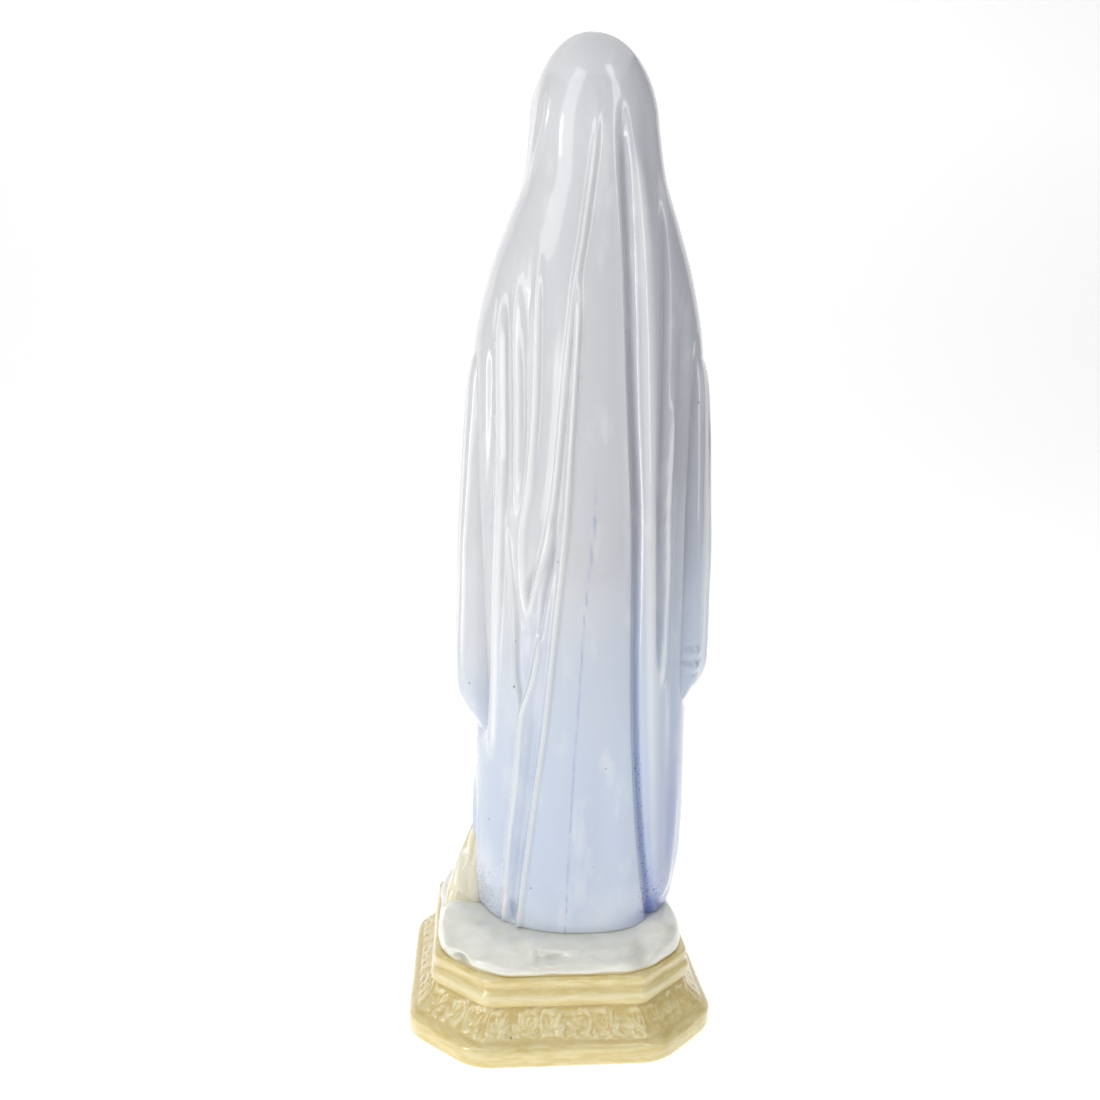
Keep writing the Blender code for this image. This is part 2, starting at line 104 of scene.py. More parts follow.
def gridPiece(columns, rows, shape):
    # a grid whose vertices are laid on shape(u, v), both from 0 to 1
    made = bmesh.new()
    bmesh.ops.create_grid(made, x_segments=columns, y_segments=rows, size=0.5)
    flat = np.array([vertex.co[:2] for vertex in made.verts]) + 0.5
    spots = shape(np.clip(flat[:, 0], 0, 1), np.clip(flat[:, 1], 0, 1))
    for vertex, point in zip(made.verts, spots.T):
        vertex.co = point * mm
    return made


def joined(first, second):
    # the second shell added to the first
    spare = meshFrom(second, "spare")
    first.from_mesh(spare)
    bpy.data.meshes.remove(spare)
    return first


def finishPiece(made, name, slot, node, marks=None, merge=weld):
    # closes the seams, faces the shell outwards and puts the piece in its node's place
    bmesh.ops.remove_doubles(made, verts=made.verts, dist=merge * mm)
    bmesh.ops.dissolve_degenerate(made, edges=made.edges, dist=speck * mm)
    bmesh.ops.recalc_face_normals(made, faces=made.faces)
    if made.calc_volume(signed=True) < 0:
        bmesh.ops.reverse_faces(made, faces=made.faces)
    mesh = meshFrom(made, name)
    mesh.shade_smooth()
    mesh.materials.append(glazes[slot])
    piece = placed(name, mesh)
    if marks:
        place = np.array([vertex.co for vertex in mesh.vertices]).T / mm
        for word, values in marks(*place).items():
            mark = mesh.attributes.new(word, "FLOAT", "POINT")
            mark.data.foreach_set("value", np.clip(values, 0, 1).astype(np.float32))
    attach(piece, "root")
    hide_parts(node)


def beads(points, radii, count):
    # balls as x, y, z and radius, evenly along a path
    stations = [(i, *point, radius) for i, (point, radius) in enumerate(zip(points, radii))]
    return [tuple(float(through(stations, at, column)) for column in (1, 2, 3, 4))
            for at in np.linspace(0, len(points) - 1, count)]


def fusedPiece(name, balls, voxel, softening, slot, node):
    # overlapping balls fused into one soft body
    made = bmesh.new()
    for x, y, z, radius in balls:
        bmesh.ops.create_icosphere(made, subdivisions=2, radius=radius * mm,
                                   matrix=Matrix.Translation(Vector((x, y, z)) * mm))
    rough = meshFrom(made, "rough")
    lump = placed("lump", rough)
    fuse = lump.modifiers.new("fuse", "REMESH")
    fuse.mode = "VOXEL"
    fuse.voxel_size = voxel * mm
    soften = lump.modifiers.new("soften", "SMOOTH")
    soften.iterations = softening
    soften.factor = 0.5
    depsgraph = bpy.context.evaluated_depsgraph_get()
    settled = bpy.data.meshes.new_from_object(lump.evaluated_get(depsgraph))
    again = bmesh.new()
    again.from_mesh(settled)
    for spare in (rough, settled):
        if spare.users == 0:
            bpy.data.meshes.remove(spare)
    bpy.data.objects.remove(lump)
    finishPiece(again, name, slot, node)


# materials

def hexColour(text):
    # an sRGB hex value as linear colour
    channels = np.array([int(text[k:k + 2], 16) for k in (0, 2, 4)]) / 255
    linear = np.where(channels <= 0.04045, channels / 12.92, ((channels + 0.055) / 1.055) ** 2.4)
    return (*linear.tolist(), 1.0)


def addNode(material, kind, values=None, links=None, **settings):
    tree = material.node_tree
    node = tree.nodes.new("ShaderNode" + kind)
    for key, value in settings.items():
        setattr(node, key, value)
    for socket, value in (values or {}).items():
        node.inputs[socket].default_value = value
    for socket, source in (links or {}).items():
        tree.links.new(source, node.inputs[socket])
    return node


def mixed(material, share, under, over):
    # the colour over laid on the colour under; each is a hex value or a socket
    node = addNode(material, "Mix", links={0: share}, data_type="RGBA")
    for socket, colour in ((6, under), (7, over)):
        if isinstance(colour, str):
            node.inputs[socket].default_value = hexColour(colour)
        else:
            material.node_tree.links.new(colour, node.inputs[socket])
    return node.outputs[2]


def spread(material, value, low, high, top=1.0):
    # 0 at low and before it, top at high and beyond
    return addNode(material, "MapRange", {"From Min": low, "From Max": high, "To Min": 0.0, "To Max": top},
                   {"Value": value}, interpolation_type="SMOOTHSTEP").outputs["Result"]


def joinedBy(material, operation, first, second, third=None):
    # arithmetic on sockets and plain numbers
    parts = [part for part in (first, second, third) if part is not None]
    values = {k: part for k, part in enumerate(parts) if isinstance(part, float)}
    links = {k: part for k, part in enumerate(parts) if not isinstance(part, float)}
    return addNode(material, "Math", values, links, operation=operation).outputs[0]


def product(material, first, second):
    return joinedBy(material, "MULTIPLY", first, second)


def mottle(material, size, detail=3.0, stretch=(1, 1, 1), shift=(0, 0, 0)):
    # noise whose lumps are this many millimetres across, before stretching
    place = addNode(material, "TexCoord").outputs["Object"]
    mapped = addNode(material, "Mapping", {"Scale": stretch, "Location": shift}, {"Vector": place})
    cloud = addNode(material, "TexNoise", {"Scale": 1 / (size * mm), "Detail": detail, "Roughness": 0.55},
                    {"Vector": mapped.outputs[0]})
    return cloud.outputs["Fac"]


def mark(material, word):
    # a value painted on the vertices; 0 on a piece without it
    return addNode(material, "Attribute", attribute_name=word).outputs["Fac"]


def startGlaze(name):
    # a hard clear coat, almost mirror smooth, over a glaze that is a little duller
    made = bpy.data.materials.new(name)
    made.use_nodes = True
    shader = made.node_tree.nodes["Principled BSDF"]
    for socket, value in glazeLook.items():
        shader.inputs[socket].default_value = value
    return made, shader


def finishGlaze(material, shader, colour, height, depth):
    # colour in the glaze, and a surface that waves by this many millimetres
    wave = addNode(material, "Bump", {"Strength": 1.0, "Distance": depth * mm}, {"Height": height})
    waved = wave.outputs[0]
    for socket, source in (("Base Color", colour), ("Normal", waved), ("Coat Normal", waved)):
        material.node_tree.links.new(source, shader.inputs[socket])
    return material


glazeLook = {"Roughness": 0.16, "IOR": 1.5, "Metallic": 0.0, "Coat Weight": 0.9, "Coat Roughness": 0.035,
             "Coat IOR": 1.5}


def pinholes(material, colour, shade="8d8f9a", spacing=13.0):
    # tiny dark pits where gas came through the glaze, about 0.5 mm across
    place = addNode(material, "TexCoord").outputs["Object"]
    cells = addNode(material, "TexVoronoi", {"Scale": 1 / (spacing * mm)}, {"Vector": place})
    pit = spread(material, cells.outputs["Distance"], 0.045, 0.02)
    return mixed(material, pit, colour, shade)


def pearlBlueGlaze():
    # tin-white glaze over cobalt sprayed on low down: pearl grey above, periwinkle below, blue in the folds;
    # painted shade on the right side and the lower right of the back, and painted highlights on fold crests
    made, shader = startGlaze("pearl_blue_glaze_over_earthenware")
    place = addNode(made, "TexCoord").outputs["Object"]
    axes = addNode(made, "SeparateXYZ", links={0: place}).outputs
    # the height in metres, made uneven so that no colour ends in a level line
    ragged = product(made, mottle(made, 26.0, 3.0, (1, 1, 0.45)), 0.070)
    height = joinedBy(made, "ADD", axes["Z"], ragged)
    leaning = joinedBy(made, "MULTIPLY_ADD", axes["X"], 0.5, height)
    # painted shade: the figure's right side, towards -X, is painted greyer than its left
    upper = mixed(made, spread(made, axes["X"], -0.044, 0.018), "bcbec7", "dadbde")
    body = mixed(made, spread(made, leaning, 0.235, 0.120), upper, "c3cfe2")
    clouds = spread(made, mottle(made, 11.0, 4.0, (1, 1, 0.4)), 0.52, 0.72, 0.30)
    veiled = mixed(made, clouds, body, "eef0f1")
    streak = spread(made, mottle(made, 5.0, 5.0, (1, 1, 0.22)), 0.50, 0.68)
    tinted = mixed(made, product(made, spread(made, height, 0.100, 0.062), streak), veiled, "b4c1e0")
    paled = mixed(made, spread(made, height, 0.102, 0.080, 0.6), tinted, "dfe5ef")
    # the blue gathered in the fold hollows, together with painted shade over the lower right of the back
    gathered = product(made, mark(made, "pool"), spread(made, height, 0.50, 0.08))
    pooled = mixed(made, gathered, paled, "7f8fcb")
    grains = spread(made, mottle(made, 0.9, 2.0), 0.56, 0.66)
    speckled = mixed(made, product(made, grains, mark(made, "speckle")), pooled, "6478c4")
    broken = spread(made, mottle(made, 5.0, 3.0), 0.30, 0.60)
    seam = mixed(made, product(made, mark(made, "seam"), broken), speckled, "7485c4")
    # painted highlight: fold crests painted near white, where the glaze also runs thin over the ridges
    thin = mixed(made, mark(made, "thin"), seam, "f8faf9")
    surface = mottle(made, 9.0, 2.0, (1, 1, 0.35))
    return finishGlaze(made, shader, pinholes(made, thin), surface, 0.22)


def strawGlaze():
    # honey-cream glaze brushed on sideways: strokes 1.5 mm wide, ochre in the hollows, pale on the edges,
    # where the glaze runs thin and a highlight is painted
    made, shader = startGlaze("straw_glaze_over_earthenware")
    strokes = mottle(made, 9.0, 4.0, (1, 1, 6.0))
    fine = mottle(made, 3.0, 3.0, (1, 1, 4.5), (0.1, 0, 0))
    base = mixed(made, spread(made, strokes, 0.34, 0.66), "e2cd89", "efe0a8")
    brushed = mixed(made, spread(made, fine, 0.52, 0.74, 0.5), base, "f3e8bb")
    pooled = mixed(made, mark(made, "pool"), brushed, "bd9c52")
    # painted highlight: the frieze's raised relief and the torus's crest painted pale, where the glaze also
    # runs thin
    thin = mixed(made, mark(made, "thin"), pooled, "f5ecc9")
    return finishGlaze(made, shader, pinholes(made, thin, "9c8350", 17.0), strokes, 0.18)


def cloudGlaze():
    # grey-white glaze on the mound, brushed on in strokes about 1.3 mm wide, with painted shade in its hollows
    made, shader = startGlaze("cloud_white_glaze_over_earthenware")
    strokes = mottle(made, 8.0, 4.0, (1, 1, 5.0))
    base = mixed(made, spread(made, strokes, 0.36, 0.66), "ebebe0", "f5f5ec")
    clouded = mixed(made, spread(made, mottle(made, 16.0, 3.0), 0.48, 0.70, 0.7), base, "f5f4ec")
    # painted shade: the hollows between the mound's lumps darkened
    pooled = mixed(made, mark(made, "pool"), clouded, "bdbeb3")
    foot = mixed(made, mark(made, "foot"), pooled, "cdbf93")
    return finishGlaze(made, shader, pinholes(made, foot, "8f918a"), strokes, 0.16)


def ivoryGlaze():
    # cream glaze on the gown, deeper cream in its folds
    made, shader = startGlaze("ivory_glaze_over_earthenware")
    soft = mottle(made, 18.0, 3.0)
    base = mixed(made, spread(made, soft, 0.36, 0.66), "f0e7c6", "f7f1dc")
    pooled = mixed(made, mark(made, "pool"), base, "cfbf8e")
    return finishGlaze(made, shader, pinholes(made, pooled, "b3a67f"), mottle(made, 7.0, 2.0), 0.12)


def sashGlaze():
    # cobalt wash under clear glaze, darker where it runs into the creases
    made, shader = startGlaze("sash_blue_glaze_over_earthenware")
    wash = mottle(made, 6.0, 4.0, (1, 1, 0.5))
    base = mixed(made, spread(made, wash, 0.36, 0.66), "8fa5d8", "b9c8ea")
    pooled = mixed(made, mark(made, "pool"), base, "4f66ad")
    return finishGlaze(made, shader, pooled, wash, 0.08)


def fleshGlaze():
    # pale flesh slip under clear glaze, with cheeks, lips, brows, eyes and brown hair laid on by brush
    made, shader = startGlaze("flesh_glaze_over_earthenware")
    base = mixed(made, spread(made, mottle(made, 10.0, 3.0), 0.34, 0.68), "efd2bf", "f6e0d0")
    flushed = mixed(made, mark(made, "flush"), base, "e3a392")
    lips = mixed(made, mark(made, "lips"), flushed, "c4756c")
    whites = mixed(made, mark(made, "eyeWhite"), lips, "f4f0ea")
    iris = mixed(made, mark(made, "iris"), whites, "54708f")
    lines = mixed(made, mark(made, "brow"), iris, "7b5a41")
    wash = mixed(made, spread(made, mottle(made, 3.0, 3.0, (1, 1, 0.4)), 0.35, 0.68), "8d6544", "ad845f")
    hair = mixed(made, mark(made, "hair"), lines, mixed(made, mark(made, "pool"), wash, "5b3d27"))
    return finishGlaze(made, shader, hair, mottle(made, 5.0, 2.0), 0.04)


# each glaze by its material slot
glazes = {
    "pearl_blue_glaze": pearlBlueGlaze(), "straw_glaze": strawGlaze(), "cloud_glaze": cloudGlaze(),
    "ivory_glaze": ivoryGlaze(), "sash_blue_glaze": sashGlaze(), "flesh_glaze": fleshGlaze(),
}
print("glazes mixed")


# the cloaked body that mantle, gown and drapes follow

figure = {
    # height, centre x, half width, back y, front y
    "body": ((37, -8.0, 41.0, 35.0, -38.0), (60, -8.6, 43.6, 34.3, -33.0), (110, -8.7, 43.5, 32.6, -29.0),
             (150, -8.1, 43.6, 31.6, -27.5), (200, -7.5, 44.6, 30.6, -27.0), (235, -7.3, 45.6, 29.8, -26.5),
             (265, -7.1, 45.6, 28.8, -27.5), (292, -7.1, 40.3, 26.9, -26.0), (312, -7.2, 33.6, 25.0, -21.5),
             (328, -7.2, 27.6, 24.0, -19.5), (346, -6.2, 24.7, 24.6, -21.0)),
    "middle": ((37, -3.0), (300, -3.0), (346, 1.5)),
    "power": 2.3,
    "crownStart": 346.0, "crownTop": 381.0, "crownPower": 1.95, "crownLean": 0.05,
    "hem": 37.7, "hemBlend": 78.0,
}


def section(z):
    # the body's middle, half width and reach to back and front at this height
    low = np.minimum(z, figure["crownStart"])
    above = np.maximum(0, z - figure["crownStart"])
    rise = np.clip(above / (figure["crownTop"] - figure["crownStart"]), 0, 1)
    share = np.sqrt(np.clip(1 - rise ** figure["crownPower"], 0, 1))
    middleX = through(figure["body"], low) + figure["crownLean"] * above
    middleY = through(figure["middle"], low)
    half = through(figure["body"], low, 2) * share
    back = (through(figure["body"], low, 3) - middleY) * share
    front = (middleY - through(figure["body"], low, 4)) * share
    return middleX, middleY, half, back, front


def onSection(parts, degrees, offset):
    # angles run from the middle of the back, positive towards +X
    middleX, middleY, half, back, front = parts
    turn = np.radians(degrees)
    reach = np.where(np.cos(turn) >= 0, back, front)
    power = 2 / figure["power"]
    x = middleX + np.maximum(0, half + offset) * bend(np.sin(turn), power)
    y = middleY + np.maximum(0, reach + offset) * bend(np.cos(turn), power)
    return x, y


moundLook = {"low": 37.0, "rise": 4.5, "middleX": -4.0, "halfWidth": 48.3, "halfDepth": 48.9, "foot": 29.0,
             "sunk": 1.0}


def ground(x):
    # the mound's top, which climbs towards the figure's right
    return moundLook["low"] + moundLook["rise"] * ease(24, 42, moundLook["middleX"] - x)


def onGround(x, y, z):
    # the hems follow the mound's top and sink a little into it, as luted clay does
    lift = ground(x) - moundLook["low"] - moundLook["sunk"]
    return np.array([x, y, z + lift * (1 - ease(figure["hem"], figure["hemBlend"], z))])


# mantle

mantleLook = {
    "columns": 236, "rows": 180, "domeRows": 24, "rimSteps": 5, "rimRoll": 2.2,
    "archTop": 369.0, "archFoot": 350.0,
    # place from edge to edge as -1 to 1, half width, how many more columns
    "crowding": ((0.28, 0.24, 2.2), (-0.26, 0.20, 0.8)),
    "edge": ((37, 98), (110, 96), (200, 100), (235, 106), (262, 117), (290, 129), (325, 127), (350, 130)),
    "thick": ((37, 4.5), (300, 4.5), (335, 3.4), (381, 3.4)),
    # how far from the edge the lining is smooth, and how far it hangs down from the crown
    "smoothFrom": 9.0, "crownDrop": 12.0,
}

# folds down the back: lift, width towards +X, width towards -X, length of fade at the top and at the foot,
# then height and x along the fold
backFolds = {
    "deepGroove": (-3.6, 1.7, 1.5, 22, 1, (
        (352, -13.0), (321, -15.4), (287, -17.6), (248, -19.9), (196, -23.8), (126, -26.3), (86, -29.2),
        (56, -33.0), (38, -36.4))),
    "deepGrooveLip": (0.9, 1.6, 1.2, 60, 30, (
        (340, -11.2), (300, -14.4), (248, -17.4), (190, -21.0), (176, -21.8))),
    "broadRoll": (1.6, 3.2, 4.6, 26, 8, (
        (348, -17.6), (299, -22.6), (248, -25.8), (207, -28.2), (129, -32.2), (68, -36.4), (44, -39.6))),
    "rightGroove": (-2.6, 1.4, 1.6, 26, 30, (
        (335, -27.8), (304, -31.2), (263, -32.0), (211, -32.4), (168, -34.0), (136, -34.6))),
    "rightRidge": (1.7, 1.1, 1.2, 30, 10, (
        (256, -36.9), (226, -36.2), (203, -36.0), (180, -36.9), (150, -36.6), (132, -35.6))),
    "rightTrough": (-1.5, 2.6, 2.4, 40, 60, (
        (290, -40.5), (235, -40.6), (190, -41.2), (120, -42.4), (80, -42.4))),
    "rightBoundary": (-2.2, 1.6, 1.6, 30, 12, (
        (275, -46.8), (242, -47.0), (203, -47.3), (160, -49.0), (120, -50.4))),
    "centreRidge": (1.6, 1.0, 1.4, 26, 26, ((352, -4.6), (329, -3.0), (301, 0.2), (284, 2.7), (268, 4.1))),
    "centreLeft": (1.25, 0.75, 0.9, 30, 8, (
        (290, 2.0), (268, 4.2), (237, 6.3), (209, 8.2), (189, 11.2), (174, 14.4))),
    "centreLong": (2.1, 1.0, 0.95, 30, 2, (
        (296, 0.6), (266, 1.3), (234, 2.2), (192, 3.9), (155, 6.6), (118, 9.4), (90, 12.4), (61, 15.4),
        (38, 17.2))),
    "centreCrease": (-0.8, 1.1, 1.2, 24, 24, ((292, 0.2), (262, 3.0), (220, 5.4), (190, 7.6), (170, 9.2))),
    "longValley": (-1.7, 2.0, 1.8, 26, 2, ((140, 13.2), (118, 14.0), (90, 16.2), (61, 19.0), (38, 20.2))),
    "panelHollow": (-0.9, 4.0, 3.6, 50, 20, ((300, 9.0), (260, 10.6), (220, 12.0), (190, 15.2))),
    "stroke": (2.1, 1.0, 1.0, 6, 6, ((199, 8.2), (189, 9.9), (181, 11.9), (173, 14.0), (160, 16.6))),
    "strokeShade": (-1.9, 1.0, 1.0, 12, 12, ((194, 7.2), (176, 9.4), (164, 11.2), (146, 13.4))),
    "strokeUnder": (-1.5, 1.2, 0.8, 10, 8, ((186, 12.6), (177, 15.4), (166, 17.2))),
    "pocketLeft": (1.4, 0.65, 0.7, 20, 8, (
        (206, 26.2), (190, 24.8), (163, 22.2), (140, 21.3), (124, 19.0))),
    "pocketRight": (1.8, 0.95, 0.95, 10, 2, (
        (157, 11.8), (138, 14.2), (124, 18.0), (97, 19.6), (72, 21.8), (38, 23.4))),
    "shoulderOuter": (1.9, 1.2, 1.4, 20, 14, (
        (294, 22.9), (268, 23.2), (243, 22.3), (217, 21.8), (195, 21.7))),
    "shoulderInner": (1.8, 1.3, 1.4, 24, 14, (
        (302, 15.2), (268, 15.9), (243, 15.9), (213, 17.3), (196, 19.4), (172, 18.9), (155, 16.6))),
    "shoulderGroove": (-1.1, 1.5, 1.5, 20, 20, ((284, 19.4), (258, 19.5), (228, 19.1), (206, 20.0))),
    "sideRidge": (2.0, 1.3, 1.3, 24, 16, (
        (288, 29.4), (258, 29.0), (217, 28.0), (170, 28.6), (126, 28.5), (98, 29.2))),
    "sideGroove": (-1.4, 1.5, 1.5, 30, 40, (
        (296, 26.6), (262, 26.4), (225, 25.4), (180, 26.4), (140, 25.4))),
    "leftBoundary": (-2.2, 1.6, 1.7, 30, 14, (
        (282, 33.2), (247, 32.8), (193, 33.0), (153, 32.4), (119, 33.2), (100, 34.0))),
    "veilRimA": (0.6, 0.7, 0.9, 8, 10, ((358, 12.8), (344, 14.2), (330, 17.4), (322, 19.4))),
    "veilRimB": (0.5, 0.6, 0.7, 8, 10, ((358, 15.6), (343, 17.2), (330, 19.0))),
    "veilRight": (-0.7, 4.0, 3.0, 16, 30, ((360, -22.0), (330, -25.0), (300, -29.4))),
    "hemSlitA": (-1.9, 0.7, 0.7, 3, 1, ((53, 22.4), (46, 23.6), (38, 24.2))),
    "hemSlitB": (-1.6, 0.6, 0.7, 3, 2, ((48, 20.4), (43, 20.0), (39, 18.8))),
    "footRollRight": (0.8, 2.4, 2.6, 30, 4, ((110, -44.0), (80, -44.6), (56, -42.6), (42, -40.0))),
    "footHollow": (-0.9, 5.0, 6.0, 40, 10, ((120, -14.0), (80, -14.0), (46, -16.0))),
}
# folds whose crests are painted near white as painted highlights; the glaze also runs thin over them
highlightedFolds = ("centreLong", "centreLeft", "stroke", "pocketRight", "pocketLeft", "shoulderOuter",
              "shoulderInner", "sideRidge")
# the sunk wedge between two folds: height and x along its sides
pocket = {"top": 182.0, "foot": 122.0, "depth": 1.5,
          "left": ((122, 18.9), (140, 21.0), (160, 21.6), (182, 22.8)),
          "right": ((122, 18.2), (140, 14.6), (160, 12.4), (182, 12.2))}


def foldLift(fold, x, z):
    lift, wide, wideOther, fadeTop, fadeFoot, path = fold
    line = sorted(path)
    away = x - through(line, z)
    along = ease(line[-1][0], line[-1][0] - fadeTop, z) * ease(line[0][0] - 0.5, line[0][0] + fadeFoot, z)
    return lift * ridge(away, np.where(away > 0, wide, wideOther)) * along


def backRelief(degrees, z):
    x, _ = onSection(section(z), degrees, 0)
    behind = ease(0.02, 0.22, np.cos(np.radians(degrees)))
    total = sum(foldLift(fold, x, z) for fold in backFolds.values())
    left, right = through(pocket["left"], z), through(pocket["right"], z)
    inside = ease(-0.6, 1.4, left - x) * ease(-0.6, 1.4, x - right)
    sunk = inside * ease(pocket["foot"], pocket["foot"] + 10, z) * ease(pocket["top"], pocket["top"] - 26, z)
    return behind * (total - pocket["depth"] * sunk)


# folds at the hem's sides: angle, lift, half width in degrees, height of the top
sideFolds = ((84, -1.4, 4.0, 92), (90, 1.0, 3.0, 100), (-80, -1.3, 4.0, 110), (-88, 1.1, 3.5, 118),
             (74, 0.7, 3.0, 88), (-96, -0.8, 3.0, 100))
# loose pleats where the veil's edge falls to the shoulder: angle at the level, lift, half width
veilPleats = ((112, 0.8, 5), (102, -0.9, 5), (92, 0.6, 5))
veilLevel, veilLean = 330, 0.10


def sideRelief(degrees, z):
    total = sum(lift * ridge(degrees - angle, wide) * ease(top, top - 25, z)
                for angle, lift, wide, top in sideFolds)
    leaning = np.abs(degrees) + (z - veilLevel) * veilLean
    veil = sum(lift * ridge(leaning - angle, wide) for angle, lift, wide in veilPleats)
    return total + veil * ease(262, 292, z) * ease(372, 352, z)


def mantleEdge(z):
    # the angle of the front edges: down the sides by the stations, then an arch that closes over the brow
    rise = np.clip((z - mantleLook["archFoot"]) / (mantleLook["archTop"] - mantleLook["archFoot"]), 0, 1)
    spring = mantleLook["edge"][-1][1]
    arch = spring + (full / 2 - spring) * (1 - np.sqrt(1 - rise**2))
    return np.where(z <= mantleLook["archFoot"], through(mantleLook["edge"], z), arch)


def mantleHeights(v):
    # close rows over the hem's roll, even rows up to the crown, then even steps of arc over it
    rows, dome, rim, roll = (mantleLook[key] for key in ("rows", "domeRows", "rimSteps", "rimRoll"))
    k = np.round(v * (rows + dome))
    rising = figure["hem"] + roll * (1 - np.cos(np.pi / 2 * np.clip(k / rim, 0, 1)))
    body = figure["hem"] + roll + (figure["crownStart"] - figure["hem"] - roll) * (k - rim) / (rows - rim)
    over = (figure["crownTop"] - figure["crownStart"]) * np.sin(np.pi / 2 * np.clip((k - rows) / dome, 0, 1))
    return np.where(k <= rim, rising, np.where(k <= rows, body, figure["crownStart"] + over))


def mantleAngles(u, z):
    # closer columns over the roll of each front edge and where the narrow folds run
    columns, rim = mantleLook["columns"], mantleLook["rimSteps"]
    k = np.round(u * columns)
    _, _, half, back, _ = section(z)
    girth = np.maximum(20, np.radians(mantleEdge(z)) * (half + back) / 2)
    roll = mantleLook["rimRoll"] / girth
    place = np.linspace(-1, 1, 401)
    crowd = 1 + sum(more * ridge(place - at, wide) for at, wide, more in mantleLook["crowding"])
    passed = (np.cumsum(crowd) - crowd[0]) / (crowd.sum() - crowd[0])
    share = np.interp((k - rim) / (columns - 2 * rim), passed, place)
    mirrored = np.minimum(k, columns - k)
    side = np.where(k <= columns / 2, -1, 1)
    near = side * (1 - roll * (1 - np.cos(np.pi / 2 * np.clip(mirrored / rim, 0, 1))))
    return mantleEdge(z) * np.where(mirrored <= rim, near, share * (1 - roll))


def edgeDistance(degrees, z):
    # how far a point is from the mantle's nearest free edge; in batches, to spare memory
    level = np.linspace(figure["hem"], mantleLook["archTop"], 400)
    _, _, half, _, front = section(level)
    rim = np.radians(180 - mantleEdge(level)) * (half + front) / 2
    _, _, halfHere, _, frontHere = section(z)
    here = np.radians(180 - np.abs(degrees)) * (halfHere + frontHere) / 2
    batches = np.array_split(np.arange(len(z)), len(z) // 4000 + 1)
    nearest = np.concatenate([np.hypot(here[part, None] - rim, z[part, None] - level).min(axis=1)
                              for part in batches])
    onEdge = (np.abs(np.abs(degrees) - mantleEdge(z)) < 1e-6) & (z < mantleLook["archTop"])
    return np.maximum(0, np.where(onEdge, 0.0, np.minimum(nearest, z - figure["hem"])))


def rolled(distance, radius):
    # how far a rounded edge has fallen away at this distance from it
    short = np.clip(radius - distance, 0, radius)
    return radius - np.sqrt(np.maximum(0, radius**2 - short**2))


def mantleSheet(inside):
    def shape(u, v):
        z = mantleHeights(v)
        degrees = mantleAngles(u, z)
        distance = edgeDistance(degrees, z)
        thick = through(mantleLook["thick"], z)
        relief = backRelief(degrees, z) + sideRelief(degrees, z)
        fall = rolled(distance, thick / 2)
        if not inside:
            return onGround(*onSection(section(z), degrees, relief - fall), z)
        over = np.clip((z - mantleLook["archTop"]) / (figure["crownTop"] - mantleLook["archTop"]), 0, 1)
        lining = -thick + fall + relief * (1 - ease(0, mantleLook["smoothFrom"], distance))
        offset = lining * (1 - over) - mantleLook["crownDrop"] * over**3
        x, y = onSection(section(z), degrees, offset)
        return onGround(x, y, z - thick * over)

    return shape


# height and x along the line where the two halves of the mould met
mouldSeam = ((34, -0.4), (46, -0.8), (91, -1.8), (131, -3.4), (164, -4.7), (196, -7.1), (232, -7.7))


def mantleMarks(x, y, z):
    # where the blue gathers, with painted shade over the lower right of the back; where it is speckled; and
    # where the glaze runs thin, with painted highlights on the fold crests
    middleX, middleY, half, _, _ = section(z)
    sideways = np.clip((x - middleX) / np.maximum(half, 1), -1, 1)
    degrees = np.degrees(np.arcsin(bend(sideways, figure["power"] / 2)))
    degrees = np.where(y >= middleY, degrees, full / 2 - degrees)
    relief = backRelief(np.where(degrees > full / 2, degrees - full, degrees), z)
    behind = y > -10
    hemRight = ease(64, 50, z) * ease(-28, -34, x)
    hemLeft = ease(66, 46, z) * ease(22, 28, x)
    rim = ease(50, 40, z - (ground(x) - moundLook["low"]))
    inGroove = 0.8 * ease(1.2, 2.6, -foldLift(backFolds["deepGroove"], x, z)) * ease(125, 95, z)
    # painted highlight: how near a point is to the crest of a fold painted near white
    crest = np.maximum.reduce([foldLift(backFolds[word], x, z) / backFolds[word][0] for word in highlightedFolds])
    # painted shade over the lower right of the back, which also keeps the painted highlights off it
    shade = 0.55 * ease(-27, -40, x) * ease(150, 60, z) * behind
    gathered = 0.42 * ease(0.8, 3.4, -relief) * ease(300, 60, z)
    raised = 0.45 * ease(0.55, 1.7, relief) * ease(40, 60, z)
    return {
        "pool": gathered + 0.35 * rim * ease(-14, -32, x) + shade,
        "thin": np.maximum(raised, 0.95 * crest**1.7) * (1 - shade),
        "speckle": np.maximum.reduce([hemRight, 0.6 * hemLeft, inGroove]) * behind,
        "seam": 0.5 * ridge(x - through(mouldSeam, z), 0.32) * ease(232, 190, z) * (y > 0),
    }


def buildMantle():
    size = mantleLook["columns"], mantleLook["rows"] + mantleLook["domeRows"]
    shell = joined(gridPiece(*size, mantleSheet(False)), gridPiece(*size, mantleSheet(True)))
    finishPiece(shell, "mantle_shell", "pearl_blue_glaze", "mantle", mantleMarks)


buildMantle()
print("mantle thrown")


# gown

gownLook = {
    "columns": 340, "outerRows": 190, "wall": 4.0, "gap": 0.6, "top": 313.5, "topRound": 1.5, "roll": 2.0,
    "cavityTop": 288.0, "neck": (9.5, 9.0, 8.0), "neckFrom": 292.0,
    # how far the gown trails sideways at the figure's left, that share's way round behind, and its end's sag
    "trailReach": 22.0, "trailBehind": 0.95, "trailSag": 3.5,
    # height, and the share of the reach there
    "trail": ((37, 1.0), (43, 0.92), (50, 0.76), (60, 0.52), (67, 0.36), (76, 0.14), (86, 0.0)),
    # depth, x at the mound, lean, half width, and the heights that each crease fades between
    "creases": ((1.5, 38.5, 1.1, 1.7, 52, 44), (0.9, 34.0, 0.3, 1.8, 74, 60)),
}
